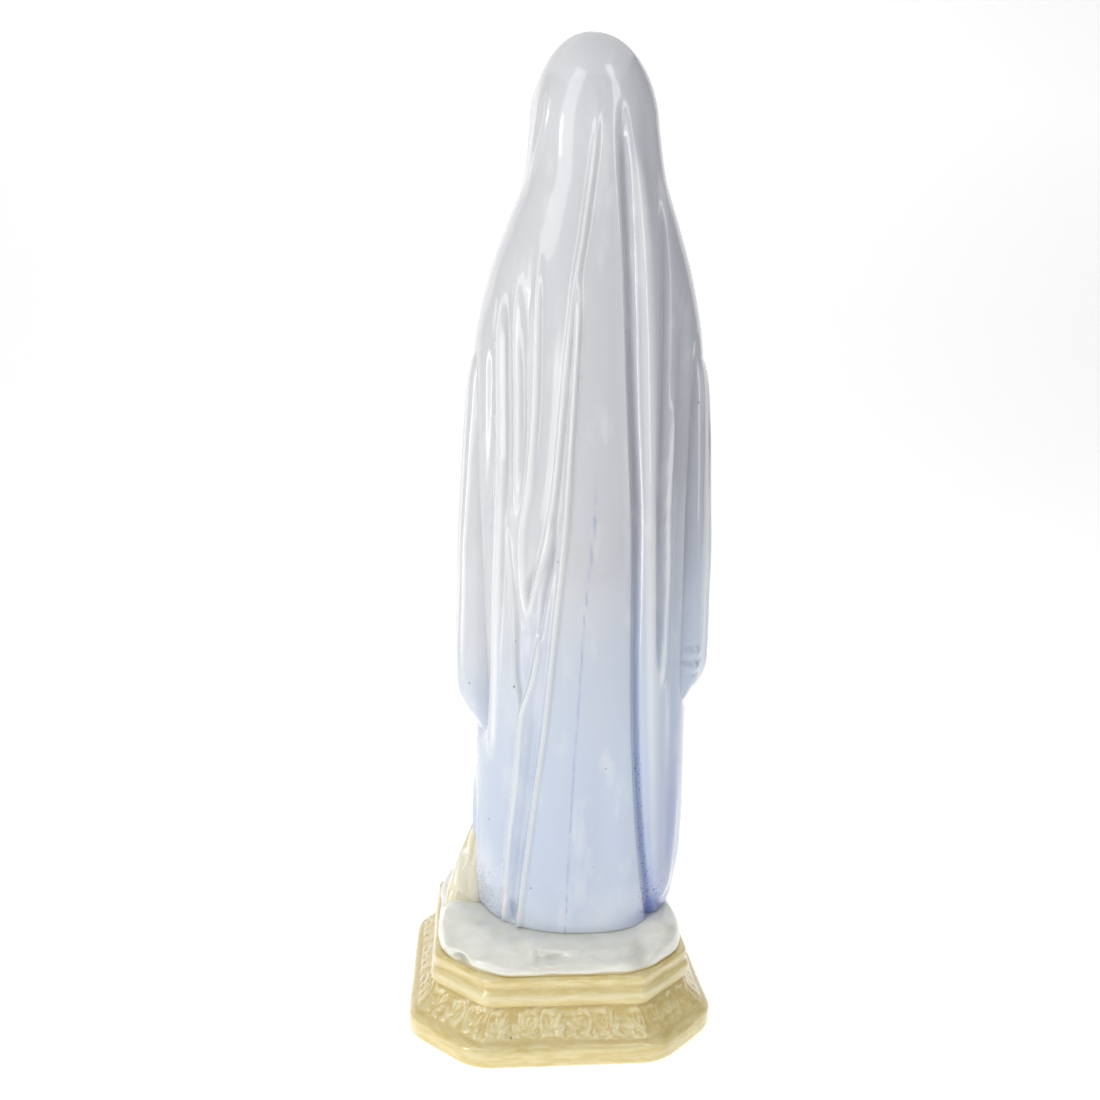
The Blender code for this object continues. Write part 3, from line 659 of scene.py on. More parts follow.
# pleats on the front: angle at the top, angle at the foot, lift, half width in degrees, top and foot height
gownPleats = (
    (180, 178, -1.5, 3.0, 206, 44), (186, 190, 1.5, 3.4, 208, 38), (173, 166, 1.6, 3.6, 208, 38),
    (194, 202, -1.6, 3.2, 206, 38), (165, 154, -1.7, 3.4, 206, 38), (203, 214, 1.6, 3.6, 207, 38),
    (157, 143, 1.5, 3.6, 207, 38), (213, 226, -1.6, 3.4, 200, 38), (148, 131, -1.6, 3.4, 200, 38),
    (224, 238, 1.3, 3.6, 204, 38), (138, 120, 1.5, 3.6, 204, 38), (236, 250, -1.2, 3.4, 190, 38),
    (127, 108, -1.3, 3.4, 190, 38), (180, 180, 0.9, 4.0, 262, 224), (170, 167, -0.8, 3.0, 258, 222),
    (190, 193, -0.8, 3.0, 258, 222), (160, 152, 0.8, 3.4, 254, 222), (200, 208, 0.8, 3.4, 254, 222),
    (150, 140, -0.7, 3.0, 250, 222), (210, 220, -0.7, 3.0, 250, 222),
)


def gownSection(z):
    middleX, middleY, half, back, front = section(z)
    inset = through(mantleLook["thick"], z) + gownLook["gap"]
    neck = ease(gownLook["neckFrom"], gownLook["top"], z)
    sizes = [(size - inset) * (1 - neck) + slim * neck
             for size, slim in zip((half, back, front), gownLook["neck"])]
    return middleX, middleY, *sizes


def gownRelief(degrees, z):
    turn = degrees % full
    total = np.zeros_like(z)
    for upper, lower, lift, wide, top, foot in gownPleats:
        line = upper + (lower - upper) * np.clip((top - z) / (top - foot), 0, 1)
        total += lift * ridge(turn - line, wide) * ease(top, top - 18, z) * ease(foot - 9, foot + 1, z)
    neckline = ease(300, 304, z) * ease(313, 309, z)
    return total * ease(96, 108, turn) * ease(264, 252, turn) + 0.7 * neckline


def gownFlare(degrees, z):
    # the hem spreads a little over the feet
    turn = degrees % full
    return 4.0 * ease(66, 37, z) * ease(150, 180, turn) * ease(235, 205, turn)


def gownTrail(degrees, z):
    # how far the cloth goes sideways over the mound, and round behind the mantle's edge
    turn = degrees % full
    reach = gownLook["trailReach"] * through(gownLook["trail"], z) * ease(175, 118, turn)
    begun = ease(98, 109, turn)
    return reach * begun, reach * ease(0, 0.45, begun)


def gownSurface(degrees, z, offset):
    x, y = onSection(gownSection(z), degrees, offset + gownFlare(degrees, z))
    sideways, behind = gownTrail(degrees, z)
    x, y = x + sideways, y + gownLook["trailBehind"] * behind
    crease = sum(depth * ridge(x - at - (z - 38) * lean, wide) * ease(top, foot, z)
                 for depth, at, lean, wide, top, foot in gownLook["creases"])
    return x, y - crease * ease(0, 6, sideways)


def ringRows(rows, pointAt):
    # one ring for each row of (height, offset, share of the ring's size)
    table = np.array(rows, float)

    def shape(u, v):
        z, offset, share = table[np.round(v * (len(table) - 1)).astype(int)].T
        x, y, z = pointAt(u * full - full / 2, z, offset)
        middle = section(z)
        return np.array([middle[0] + (x - middle[0]) * share, middle[1] + (y - middle[1]) * share, z])

    return shape


def buildGown():
    wall, roll, hem, top = gownLook["wall"], gownLook["roll"], figure["hem"], gownLook["top"]
    ceiling, lip = gownLook["cavityTop"], gownLook["topRound"]
    # down the inside, round the hem, up the outside and over the top
    rows = [(ceiling, -12, 0)]
    rows += [(z, -wall - 6 * float(ease(262, ceiling, z)), 1) for z in np.linspace(ceiling, hem + roll, 24)]
    rows += [(hem + roll - roll * np.sin(a), -roll - roll * np.cos(a), 1) for a in np.linspace(0.3, np.pi, 7)]
    rows += [(z, 0, 1) for z in np.linspace(hem + roll, top - lip, gownLook["outerRows"])]
    rows += [(top - lip + lip * np.sin(a), -lip + lip * np.cos(a), 1) for a in np.linspace(0.3, np.pi / 2, 4)]
    rows += [(top, -lip, share) for share in (0.6, 0.3, 0)]

    def pointAt(degrees, z, offset):
        relief = np.where(offset > -wall + 0.1, gownRelief(degrees, z), 0)
        x, y = gownSurface(degrees, z, offset + relief)
        return onGround(x, y, z - gownLook["trailSag"] * ease(41, 47, x) * ease(60, 38, z))

    def marks(x, y, z):
        middle = section(z)
        degrees = np.degrees(np.arctan2(x - middle[0], y - middle[1]))
        return {"pool": 0.8 * ease(0.2, 1.8, -gownRelief(degrees, z))}

    made = gridPiece(gownLook["columns"], len(rows) - 1, ringRows(rows, pointAt))
    finishPiece(made, "gown_body", "ivory_glaze", "gown", marks)


# drapes

# tuck and under are how far the cloth's underside lies off the body, at its back and its front
drapeLook = {"columns": 120, "rows": 160, "tuck": -4.0, "under": -0.8, "frontRise": 0.07}
drapes = {
    "left": {
        "side": 1, "backAngle": 69.0, "backRise": 0.20,
        "out": ((109, -0.6), (114, 1.0), (120, 4.0), (128, 8.0), (138, 9.0), (148, 9.0), (168, 8.1),
                (187, 7.6), (216, 5.6), (250, 2.6), (268, -0.6)),
        "front": ((109, 96), (114, 101), (130, 112), (180, 124), (235, 133), (268, 120)),
        # lift, half width in degrees, then height and angle along the fold
        "folds": ((1.1, 3.0, ((108, 80), (150, 79), (230, 77), (262, 76))),
                  (-0.7, 2.6, ((108, 90), (160, 90), (240, 88), (262, 88))),
                  (0.8, 3.0, ((108, 98), (170, 103), (240, 105), (262, 104))),
                  (-1.1, 2.8, ((114, 102), (170, 112), (240, 117), (262, 112)))),
        "curls": ((125, 0.7, 72, 1.8, 5), (121, -0.5, 74, 1.4, 6)),
    },
    "right": {
        "side": -1, "backAngle": 58.0, "backRise": 0.09,
        "out": ((122, -0.6), (126, 1.8), (130, 3.8), (138, 7.2), (146, 7.9), (168, 7.8), (187, 7.6),
                (216, 5.6), (250, 2.6), (268, -0.6)),
        "front": ((122, 104), (130, 112), (180, 124), (235, 133), (268, 120)),
        "folds": ((0.8, 3.0, ((120, 76), (170, 78), (230, 76), (262, 75))),
                  (-1.2, 2.8, ((120, 84), (160, 87), (240, 86), (262, 86))),
                  (1.0, 3.0, ((120, 94), (170, 98), (240, 100), (262, 98))),
                  (-1.1, 2.8, ((120, 102), (170, 110), (240, 115), (262, 110)))),
        "curls": ((148.5, -0.7, 61, 0.8, 3), (145.6, 1.0, 62, 1.5, 3.4), (142.4, -1.2, 61, 0.8, 3.4),
                  (139.8, 1.1, 62, 1.3, 3.4), (137, -0.8, 63, 0.8, 4), (133, 0.6, 68, 1.6, 6)),
    },
}


def buildDrape(word):
    look = drapes[word]
    foot, top = look["out"][0][0], look["out"][-1][0]
    around, tuck, under = (drapeLook[key] for key in ("columns", "tuck", "under"))

    def shape(u, v):
        # half the way round over the outside from back to front, half the way back underneath
        k = np.round(u * around)
        along = np.where(k <= around / 2, k, around - k) / (around / 2)
        outside = k <= around / 2
        # rows are closer at both ends
        level = 0.35 * (1 - np.cos(np.pi * v)) / 2 + 0.65 * v
        z = foot + (top - foot) * level
        angle = look["backAngle"] + (through(look["front"], z) - look["backAngle"]) * along
        ends = np.sqrt(np.clip(1 - np.abs(2 * v - 1) ** 14, 0, 1))
        backRound = 1 - (1 - np.minimum(1, along / look["backRise"])) ** 2
        frontRound = 1 - (1 - np.minimum(1, (1 - along) / drapeLook["frontRise"])) ** 2
        rounded = np.clip(backRound, 0, 1) * np.sqrt(np.clip(frontRound, 0, 1))
        relief = sum(lift * ridge(angle - through(line, z), wide) for lift, wide, line in look["folds"])
        relief += sum(lift * swelling(z - height, angle - at, tall, wide)
                      for height, lift, at, tall, wide in look["curls"])
        swell = through(look["out"], z) * (0.55 + 0.45 * np.sin(np.pi * np.clip(along, 0.05, 0.95)))
        floor = tuck + (under - tuck) * ease(0.3, 0.55, along)
        over = floor + np.maximum(0, swell + relief * np.clip(swell / 4, 0, 1) - floor) * rounded * ends
        x, y = onSection(section(z), look["side"] * angle, np.where(outside, over, floor))
        return np.array([x, y, z])

    def marks(x, y, z):
        middleX, middleY, half, back, _ = section(z)
        power = figure["power"] / 2
        across, depth = bend((x - middleX) / half, power), bend((y - middleY) / back, power)
        turn = np.abs(np.degrees(np.arctan2(across, depth)))
        hollow = sum(-lift * ridge(turn - through(line, z), wide)
                     for lift, wide, line in look["folds"] if lift < 0)
        return {"pool": 0.2 * ease(0.3, 1.2, hollow)}

    made = gridPiece(around, drapeLook["rows"], shape)
    finishPiece(made, f"drape_{word}_fall", "pearl_blue_glaze", f"drape_{word}", marks)


# mound

moundLook.update({
    "columns": 320, "rowsEach": 8, "cornerRound": 0.026,
    # share of the outline, share of the rise from the foot to the top, drop below that
    "profile": ((1.0, 0, 0), (1.01, 0.2, 0), (0.985, 0.5, 0), (0.93, 1, 2.6), (0.87, 1, 0.9), (0.80, 1, 0),
                (0.68, 1, 0), (0.5, 1, 0), (0.37, 1, 0), (0.37, 1, 4.0), (0.6, 1, 4.0), (0.82, 1, 4.0),
                (0.88, 0.15, 0), (0.88, 0, 0), (1.0, 0, 0)),
})
# hollows and swellings on the mound's flank: x, height, lift, half width, half height; all on the back
moundShapes = ((5.0, 34.4, -1.5, 4.6, 0.9), (10.5, 34.0, -0.8, 1.6, 1.8), (40.5, 31.2, -2.6, 2.4, 1.4),
               (33.0, 33.8, 1.4, 5.6, 2.6), (46.0, 36.5, 1.3, 3.6, 3.0), (-18.0, 33.4, 1.1, 6.0, 2.0),
               (-30.0, 34.0, -1.2, 3.0, 2.2), (-40.0, 37.0, 1.2, 5.0, 3.2), (20.0, 31.6, 0.8, 8.0, 1.4),
               (-6.0, 31.2, 0.7, 8.0, 1.4), (44.0, 34.0, 1.4, 2.6, 2.6))
# risings of the mound's top: x, y, rise, half width
moundRisings = ((43.0, 14.0, 4.2, 6.0), (31.0, 31.0, 1.6, 6.0), (-34.0, 30.0, 1.4, 6.0),
                (12.0, 41.0, 0.9, 6.0))


def moundLift(x, y, z):
    back = sum(lift * swelling(x - at, z - height, wide, tall)
               for at, height, lift, wide, tall in moundShapes)
    return back * ease(6, 22, y) + 1.2 * lumps(x, y, z, 17.0) + 0.45 * lumps(x, y, z * 1.6, 7.0, 5.0)


def buildMound():
    stations = [(i, *row) for i, row in enumerate(moundLook["profile"])]
    last = len(stations) - 1

    def shape(u, v):
        at = v * last
        share, rise, drop = (through(stations, at, column) for column in (1, 2, 3))
        x, y = softOctagon(u, moundLook["halfWidth"] * share, moundLook["halfDepth"] * share,
                           moundLook["cornerRound"])
        z = moundLook["foot"] + (ground(x) - moundLook["foot"]) * rise - drop
        # rough on the flank and the top, smooth inside and underneath
        lift = moundLift(x, y, z) * ease(0.0, 0.6, at) * ease(6.2, 4.6, at)
        away = np.hypot(x, y) + 1e-6
        swell = sum(high * ridge(np.hypot(x - atX, y - atY), wide) for atX, atY, high, wide in moundRisings)
        raised = z + 0.35 * lift * ease(0.8, 2, at) + swell * ease(0.6, 3, at) * ease(8.2, 7.4, at)
        return np.array([x + x / away * lift, y + y / away * lift, raised])

    def marks(x, y, z):
        # painted shade in the hollows between the lumps
        return {"pool": 0.7 * ease(0.3, 1.9, -moundLift(x, y, z)), "foot": 0.8 * ease(31.2, 29.4, z)}

    made = gridPiece(moundLook["columns"], moundLook["rowsEach"] * last, shape)
    finishPiece(made, "mound_rocks", "cloud_glaze", "mound", marks)


# pedestal

pedestalLook = {
    "halfWidth": 59.5, "halfDepth": 60.0, "girth": 370.0,
    # share of each half side that a corner cuts off, and the radius of the corners' rounding by height
    "chamferX": 0.41, "chamferY": 0.35, "frontChamferY": 0.52,
    "columns": 720, "cornerRound": ((0, 6.0), (8, 4.6), (17, 3.0), (19, 2.2), (29, 2.4)),
    # the frieze: its heights, the length and height of one scroll, its relief, its part of the profile
    "friezeFoot": 8.7, "friezeTop": 17.5, "unit": 10.6, "unitHeight": 8.4, "relief": 0.65,
    "friezeStations": (5.5, 10.5), "outerStations": 19,
    # where the glaze pools between the mouldings: depth of colour, height, half width
    "grooves": ((0.35, 8.6, 0.5), (0.7, 17.8, 0.6), (0.49, 25.2, 0.5)),
    # arcs of a scroll: lift, x, y, radius, start and end in degrees, half width
    "arcs": ((1.0, -1.7, 0.3, 2.7, 20, 300, 0.75), (0.8, -1.2, 0.0, 1.15, 160, 460, 0.6)),
    # leaves: x, y, direction in degrees, share of the swing, length, half width
    "leaves": ((0.6, -1.9, 62, 1, 5.2, 1.0), (1.4, -2.1, 22, 1, 4.2, 0.95), (1.2, -2.6, -12, 0, 3.8, 0.7),
               (-0.4, 1.6, 118, -1, 2.6, 0.7), (0.2, -2.4, 196, 0, 4.4, 0.65)),
    # inset from the plinth's outline, height, rows to the next station
    "profile": ((0.9, 0, 1), (0.1, 1.0, 2), (0, 2.6, 2), (0, 5.6, 3), (0.6, 7.3, 2), (1.9, 8.2, 2),
                (2.7, 8.6, 7), (5.5, 10.9, 8), (8.1, 13.6, 8), (9.7, 16.4, 4), (10.1, 17.5, 2), (9.2, 18.1, 2),
                (8.5, 19.4, 3), (8.3, 21.2, 3), (8.7, 23.2, 2), (9.7, 24.7, 2), (9.6, 25.6, 2), (9.5, 27.8, 2),
                (10.3, 29, 2), (15, 29, 1), (19.5, 29, 1), (19.5, 24.5, 1), (15, 24.5, 1), (13.5, 18, 1),
                (7.5, 10, 1), (6.0, 0, 1), (0.9, 0, 0)),
}


def octagonCorners(halfWidth, halfDepth):
    look = pedestalLook
    sideX, backY = halfWidth * (1 - look["chamferX"]), halfDepth * (1 - look["chamferY"])
    frontY = -halfDepth * (1 - look["frontChamferY"])
    return np.array([(halfWidth, frontY), (halfWidth, backY), (sideX, halfDepth), (-sideX, halfDepth),
                     (-halfWidth, backY), (-halfWidth, frontY), (-sideX, -halfDepth), (sideX, -halfDepth),
                     (halfWidth, frontY)])


def octagonSide(turn):
    # which side this share of the way round is on, how far along it, and the side's length, half way in
    corners = octagonCorners(pedestalLook["halfWidth"] - 7, pedestalLook["halfDepth"] - 7)
    ends = np.concatenate([[0], np.cumsum(np.hypot(*np.diff(corners, axis=0).T))])
    at = (turn % 1.0) * ends[-1]
    side = np.clip(np.searchsorted(ends, at, side="right") - 1, 0, 7)
    return side, at - ends[side], np.diff(ends)[side]


def octagon(turn, halfWidth, halfDepth):
    # a point of the chamfered outline
    side, along, length = octagonSide(turn)
    corners = octagonCorners(halfWidth, halfDepth)
    each = np.arange(len(side))
    start, end = corners[side, :, each], corners[side + 1, :, each]
    spot = start + (end - start) * (along / length)[:, None]
    return spot[:, 0], spot[:, 1]


def softOctagon(turn, halfWidth, halfDepth, rounding):
    # the same outline with its corners rounded, by averaging over this share of it to either side
    spots = [octagon(turn + shift, halfWidth, halfDepth) for shift in np.linspace(-rounding, rounding, 7)]
    return np.mean(spots, axis=0)


def arc(a, b, x, y, radius, start, end, wide):
    # a raised arc about (x, y), between two angles in degrees, tapering at its ends
    turn = np.degrees(np.arctan2(b - y, a - x)) % full
    turn = np.where(turn < start, turn + full, turn)
    body = ease(start, start + 30, turn) * ease(end, end - 30, turn)
    return ridge(np.hypot(a - x, b - y) - radius, wide) * body


def leaf(a, b, x, y, lean, length, wide):
    # one raised lobe that starts at (x, y) and points along lean degrees
    c, s = np.cos(np.radians(lean)), np.sin(np.radians(lean))
    along, across = (a - x) * c + (b - y) * s, -(a - x) * s + (b - y) * c
    share = np.clip(along / length, 0, 1)
    girth = wide * np.sin(np.pi * np.clip(share * 0.85 + 0.12, 0, 1))
    ends = ease(-0.3, 0.4, along) * ease(length + 0.2, length - 0.7, along)
    return ridge(across, np.maximum(0.2, girth)) * ends


def scrollwork(along, up, sideLength):
    # a running band of C-scrolls and acanthus leaves; every other one is turned, and each leans its own way
    look = pedestalLook
    place = along / sideLength * np.maximum(2, np.round(sideLength / look["unit"]))
    number = np.floor(place)
    a = (place - number - 0.5) * look["unit"] * np.where(number % 2 == 0, 1, -1)
    b = (up - 0.5) * look["unitHeight"]
    swing = np.sin(number * 2.3) * 8
    parts = [lift * arc(a, b, *rest) for lift, *rest in look["arcs"]]
    parts += [leaf(a, b, x, y, lean + share * swing, *rest) for x, y, lean, share, *rest in look["leaves"]]
    return np.maximum.reduce(parts)


def friezeLift(turn, z):
    look = pedestalLook
    _, along, length = octagonSide(turn)
    x, y = octagon(turn, look["halfWidth"] + 0 * z, look["halfDepth"] + 0 * z)
    up = (z - look["friezeFoot"]) / (look["friezeTop"] - look["friezeFoot"])
    margin = ease(0.2, 1.6, along) * ease(0.2, 1.6, length - along)
    band = ease(0.02, 0.14, up) * ease(1.0, 0.9, up)
    # worn flatter at the right of the back, and unevenly all round
    uneven = 0.8 + 0.3 * np.sin(turn * 71 + 1) * np.sin(turn * 173)
    worn = 1 - 0.5 * ease(5, -45, x) * ease(0, 20, y)
    return scrollwork(along, up, length) * margin * band * uneven * worn


def buildPedestal():
    look = pedestalLook
    insets, heights, counts = zip(*look["profile"])
    table = list(zip(range(len(insets)), insets, heights))
    places = [i + k / rows for i, rows in enumerate(counts) for k in range(rows)] + [len(table) - 1]
    low, high = look["friezeStations"]
    outer = look["outerStations"]

    def shape(u, v):
        at = np.array(places)[np.round(v * (len(places) - 1)).astype(int)]
        inset, z = through(table, at, 1), np.maximum(0, through(table, at, 2))
        z = np.where(at > len(table) - 3, np.interp(at, range(len(table)), heights), z)
        lift = friezeLift(u, z) * look["relief"] * ((at > low) & (at < high))
        uneven = 0.16 * np.sin(u * 61) * np.sin(z * 0.8 + u * 23) * ((at > 1) & (at < outer))
        out = lift + uneven - inset
        rounding = through(look["cornerRound"], z) / look["girth"]
        x, y = softOctagon(u, look["halfWidth"] + out, look["halfDepth"] + out, rounding)
        return np.array([x, y, z + 0.5 * lift])

    def marks(x, y, z):
        # how far a point stands out from the profile, as a share of the half width
        cutX, cutY = look["chamferX"], np.where(y > 0, look["chamferY"], look["frontChamferY"])
        acrossX, acrossY = np.abs(x) / look["halfWidth"], np.abs(y) / look["halfDepth"]
        corner = (acrossX * cutY + acrossY * cutX) / (cutX + cutY - cutX * cutY)
        outline = np.maximum.reduce([acrossX, acrossY, corner])
        wall = 1 - np.interp(z, heights[:outer], insets[:outer]) / look["halfWidth"]
        raised = (outline - wall) * look["halfWidth"]
        foot, top = look["friezeFoot"], look["friezeTop"]
        frieze = ease(foot, foot + 1.2, z) * ease(top + 0.4, top - 0.4, z)
        recess = 0.22 * ease(0.25, 0.02, raised) * frieze
        grooves = np.maximum.reduce([deep * ridge(z - height, wide) for deep, height, wide in look["grooves"]])
        # the frieze's raised relief and the torus's crest at 22 mm are painted pale as a painted highlight
        return {"pool": np.maximum(recess, grooves) * (outline > 0.7),
                "thin": np.maximum(0.35 * ease(0.3, 0.6, raised) * frieze, 0.4 * ridge(z - 22.0, 1.2))}

    made = gridPiece(look["columns"], len(places) - 1, shape)
    finishPiece(made, "pedestal_base", "straw_glaze", "pedestal", marks)


# head

headLook = {
    "columns": 260, "rows": 240, "middleX": -6.4,
    # height, half width, back y, front y
    "rings": ((312.8, 8.2, 5.1, -9.6), (322, 7.4, 5.0, -9.4), (328, 7.6, 7.0, -10.8),
              (331, 8.6, 10.0, -15.6), (334, 10.8, 12.5, -18.0), (340, 13.4, 15.5, -18.6),
              (348, 15.0, 18.0, -18.6), (356, 15.4, 18.6, -18.4), (363, 14.2, 16.5, -16.6),
              (369, 11.0, 12.6, -11.6), (373, 6.4, 8.0, -6.0), (375, 0.4, 1.4, 0.6)),
    # x from the face's middle, height, lift, half width, half height; what is off the middle is on both sides
    "features": ((0, 357.5, 0.4, 7.5, 2.0), (5.8, 352.6, -1.7, 3.5, 2.5), (5.8, 352.2, 1.35, 2.5, 1.55),
                 (6.0, 356.4, 0.7, 3.6, 1.0), (7.4, 345.5, 0.9, 4.2, 4.0), (0, 339.4, 0.9, 3.6, 2.2),
                 (0, 339.5, 0.5, 2.4, 0.5), (0, 338.0, 0.6, 2.0, 0.6), (0, 338.75, -0.35, 2.8, 0.22),
                 (0, 336.3, -0.4, 2.8, 0.7), (0, 333.8, 1.3, 3.2, 1.9), (0, 341.4, -0.3, 0.55, 0.9)),
    "eyeX": 5.8, "eyeZ": 352.1,
    # lift, height above the eye's middle, half height
    "lids": ((0.22, 0.95, 0.22), (-0.26, 1.5, 0.28), (0.16, -1.0, 0.22), (-0.12, -0.35, 0.12)),
}


def faceOval(x, z):
    # below 1 inside the face, above 1 in the hair
    top = 366.0 - 1.1 * np.abs(x) ** 0.8
    rise = np.where(z > 349, (z - 349) / np.maximum(1, top - 349), (349 - z) / 22.0)
    return np.sqrt((x / 11.2) ** 2 + rise**2)


def noseLift(x, z):
    down = np.clip((356.0 - z) / (356.0 - 343.6), 0, 1)
    height = 0.5 + 3.3 * down**1.4
    bridge = height * ridge(x, 1.15 + 0.75 * down) * ease(358.5, 355.0, z) * ease(341.6, 343.4, z)
    return bridge + sum(1.1 * swelling(x - side * 1.9, z - 343.4, 0.85, 0.95) for side in (-1, 1))


def faceLift(x, z):
    look = headLook
    lift = sum(high * swelling(x - side * at, z - height, wide, tall)
               for at, height, high, wide, tall in look["features"] for side in ((-1, 1) if at else (1,)))
    lids = sum(high * ridge(z - look["eyeZ"] - above, tall) for high, above, tall in look["lids"])
    eyes = sum(ridge(x - side * look["eyeX"], 2.5) for side in (-1, 1))
    return lift + noseLift(x, z) + eyes * lids


def hairWave(x, z):
    return (faceOval(x, z) - 1) * 15 + 0.9 * np.sin(z * 0.55 + np.abs(x) * 0.35)


def buildHead():
    rings, middleX = headLook["rings"], headLook["middleX"]

    def shape(u, v):
        # rows and columns are closer over the face; u starts at the back
        turn = 2 * np.pi * (u + 0.085 * np.sin(4 * np.pi * u - np.pi) * 0.9)
        level = v - 0.03 * np.sin(2 * np.pi * v)
        z = rings[0][0] + (rings[-1][0] - rings[0][0]) * level
        half, back, front = (through(rings, z, column) for column in (1, 2, 3))
        ends = ease(-0.001, 0.012, v)
        across, depth = np.sin(turn), -np.cos(turn)
        x = half * across * ends
        y = (back + front) / 2 + (back - front) / 2 * depth * ends
        hair = ease(0.98, 1.08, faceOval(x, z)) * ease(326, 334, z)
        wave = hairWave(x, z)
        locks = 0.85 + 0.42 * np.cos(wave * 2.3) + 0.14 * np.cos(wave * 6.1 + z * 0.2)
        parting = -0.5 * ridge(x, 0.5) * ease(362, 366, z)
        outward = hair * (locks + parting)
        y = y - ease(0.15, 0.75, -depth) * faceLift(x, z) * (1 - hair)
        return np.array([middleX + x + across * outward, y + depth * outward, z])

    def marks(x, y, z):
        x = x - middleX
        side, front, oval = np.abs(x), y < 2, faceOval(x, z)
        hair = np.maximum(ease(0.99, 1.04, oval), (y > 2) * 1.0) * ease(327, 331, z)
        lidLine = 351.85 - 0.06 * (side - headLook["eyeX"]) ** 2
        eyeShape = ((side - headLook["eyeX"]) / 2.1) ** 2 + ((z - lidLine + 0.25) / 0.62) ** 2
        lipTop = 339.7 - 0.10 * side - 0.35 * ridge(x, 0.6)
        lips = ease(2.9, 2.2, side) * ease(337.2, 337.6, z - 0.12 * side) * ease(0.45, 0.05, z - lipTop)
        browLine = 356.9 - 0.045 * (side - 5.5) ** 2
        brow = ridge(z - browLine, 0.34) * ease(2.6, 3.4, side) * ease(9.6, 8.4, side)
        lash = ridge(z - lidLine - 0.42, 0.17) * ease(2.4, 1.9, np.abs(side - headLook["eyeX"]))
        iris = ease(0.62, 0.5, np.hypot(side - 5.7, z - 351.6) / 1.3) * ease(1.1, 0.9, eyeShape)
        return {
            "hair": hair, "pool": 0.8 * hair * ease(0.1, -0.8, np.cos(hairWave(x, z) * 2.3)),
            "lips": 0.75 * front * lips, "flush": 0.5 * front * swelling(side - 7.6, z - 345, 3.4, 3.0),
            "eyeWhite": front * ease(1.15, 0.85, eyeShape), "iris": front * iris,
            "brow": front * np.maximum(0.75 * brow, 0.85 * lash),
        }

    made = gridPiece(headLook["columns"], headLook["rows"], shape)
    finishPiece(made, "head_and_hair", "flesh_glaze", "head", marks)


# sleeves

sleeveLook = {
    "path": ((0, 30, -15, 232), (1, 22, -26.5, 244), (2, 13, -34, 254), (3, 7.6, -38, 262)),
    "across": 6.9, "upright": 8.4, "columns": 110, "cuffWall": 1.7, "cuffDepth": 0.22, "middleX": -7.1,
    "merge": 0.02,
    # lift, place round the sleeve at the elbow and at the cuff in degrees, half width
    "folds": ((0.9, 250, 300, 13), (-0.9, 225, 270, 11), (0.8, 200, 238, 12), (-0.8, 178, 205, 11),
              (0.7, 150, 170, 13), (-0.8, 120, 135, 12), (0.7, 95, 100, 13), (-0.7, 285, 330, 12),
              (0.6, 325, 362, 13)),
}


def buildSleeve(word, side):
    look = sleeveLook
    inner = 1 - look["cuffWall"] / look["across"]
    rim, deep = 0.985, 1 - look["cuffDepth"]
    # share of the way along the arm and of the sleeve's size: elbow, outside, rim, inside, hollow's end
    rows = [(0.0, size) for size in (0, 0.4, 0.75, 0.92)]
    rows += [(along, 1.0) for along in np.linspace(0.01, rim, 90)]
    rows += [(rim + 0.02 * np.sin(a), 1 - (1 - inner) * (1 - np.cos(a)) / 2)
             for a in np.linspace(0.4, np.pi, 7)]
    rows += [(along, inner * 0.97) for along in np.linspace(0.96, deep, 10)]
    rows += [(deep, size) for size in (0.5, 0.25, 0)]
    table = np.array(rows)

    def spotAt(at):
        return np.array([through(look["path"], at, column) for column in (1, 2, 3)])

    def shape(u, v):
        share, scale = table[np.round(v * (len(table) - 1)).astype(int)].T
        at = np.clip(share, 0, 1) * 3
        forward = spotAt(np.minimum(3, at + 0.2)) - spotAt(np.maximum(0, at - 0.2))
        forward /= np.linalg.norm(forward, axis=0)
        sideways = np.cross(forward.T, (0, 0, 1)).T
        sideways /= np.linalg.norm(sideways, axis=0)
        upright = np.cross(sideways.T, forward.T).T
        degrees = u * full
        relief = np.zeros_like(u)
        for lift, start, end, wide in look["folds"]:
            away = (degrees - (start + (end - start) * share) + full / 2) % full - full / 2
            relief += lift * ridge(away, wide)
        relief = relief * ease(0, 0.12, share) * ease(1.01, 0.9, share) + 0.35 * ridge(share - 0.93, 0.03)
        flare = 1 + 0.05 * ease(0.8, 1, share)
        turn = np.radians(degrees)
        reach = (sideways * np.cos(turn) * (look["across"] * flare + relief)
                 + upright * np.sin(turn) * (look["upright"] * flare + relief)) * scale
        x, y, z = spotAt(at) + reach + forward * np.maximum(0, share - 1) * 30
        return np.array([look["middleX"] + side * x, y, z])

    made = gridPiece(look["columns"], len(rows) - 1, shape)
    finishPiece(made, f"sleeve_{word}_cloth", "ivory_glaze", f"sleeve_{word}", merge=look["merge"])


# hands, laid palm to palm

handLook = {
    "middleX": -7.2, "palm": 0.25, "voxel": 0.42,
    "knuckles": (-42.3, 275.5), "axis": (-0.238, 0.971), "breadth": (0.971, 0.238),
    # place across the hand, length, radius at the knuckle and at the tip
    "fingers": ((3.6, 19.5, 1.5, 1.05), (1.25, 22.6, 1.5, 1.05), (-1.15, 20.8, 1.45, 1.0),
                (-3.4, 16.6, 1.3, 0.9)),
}


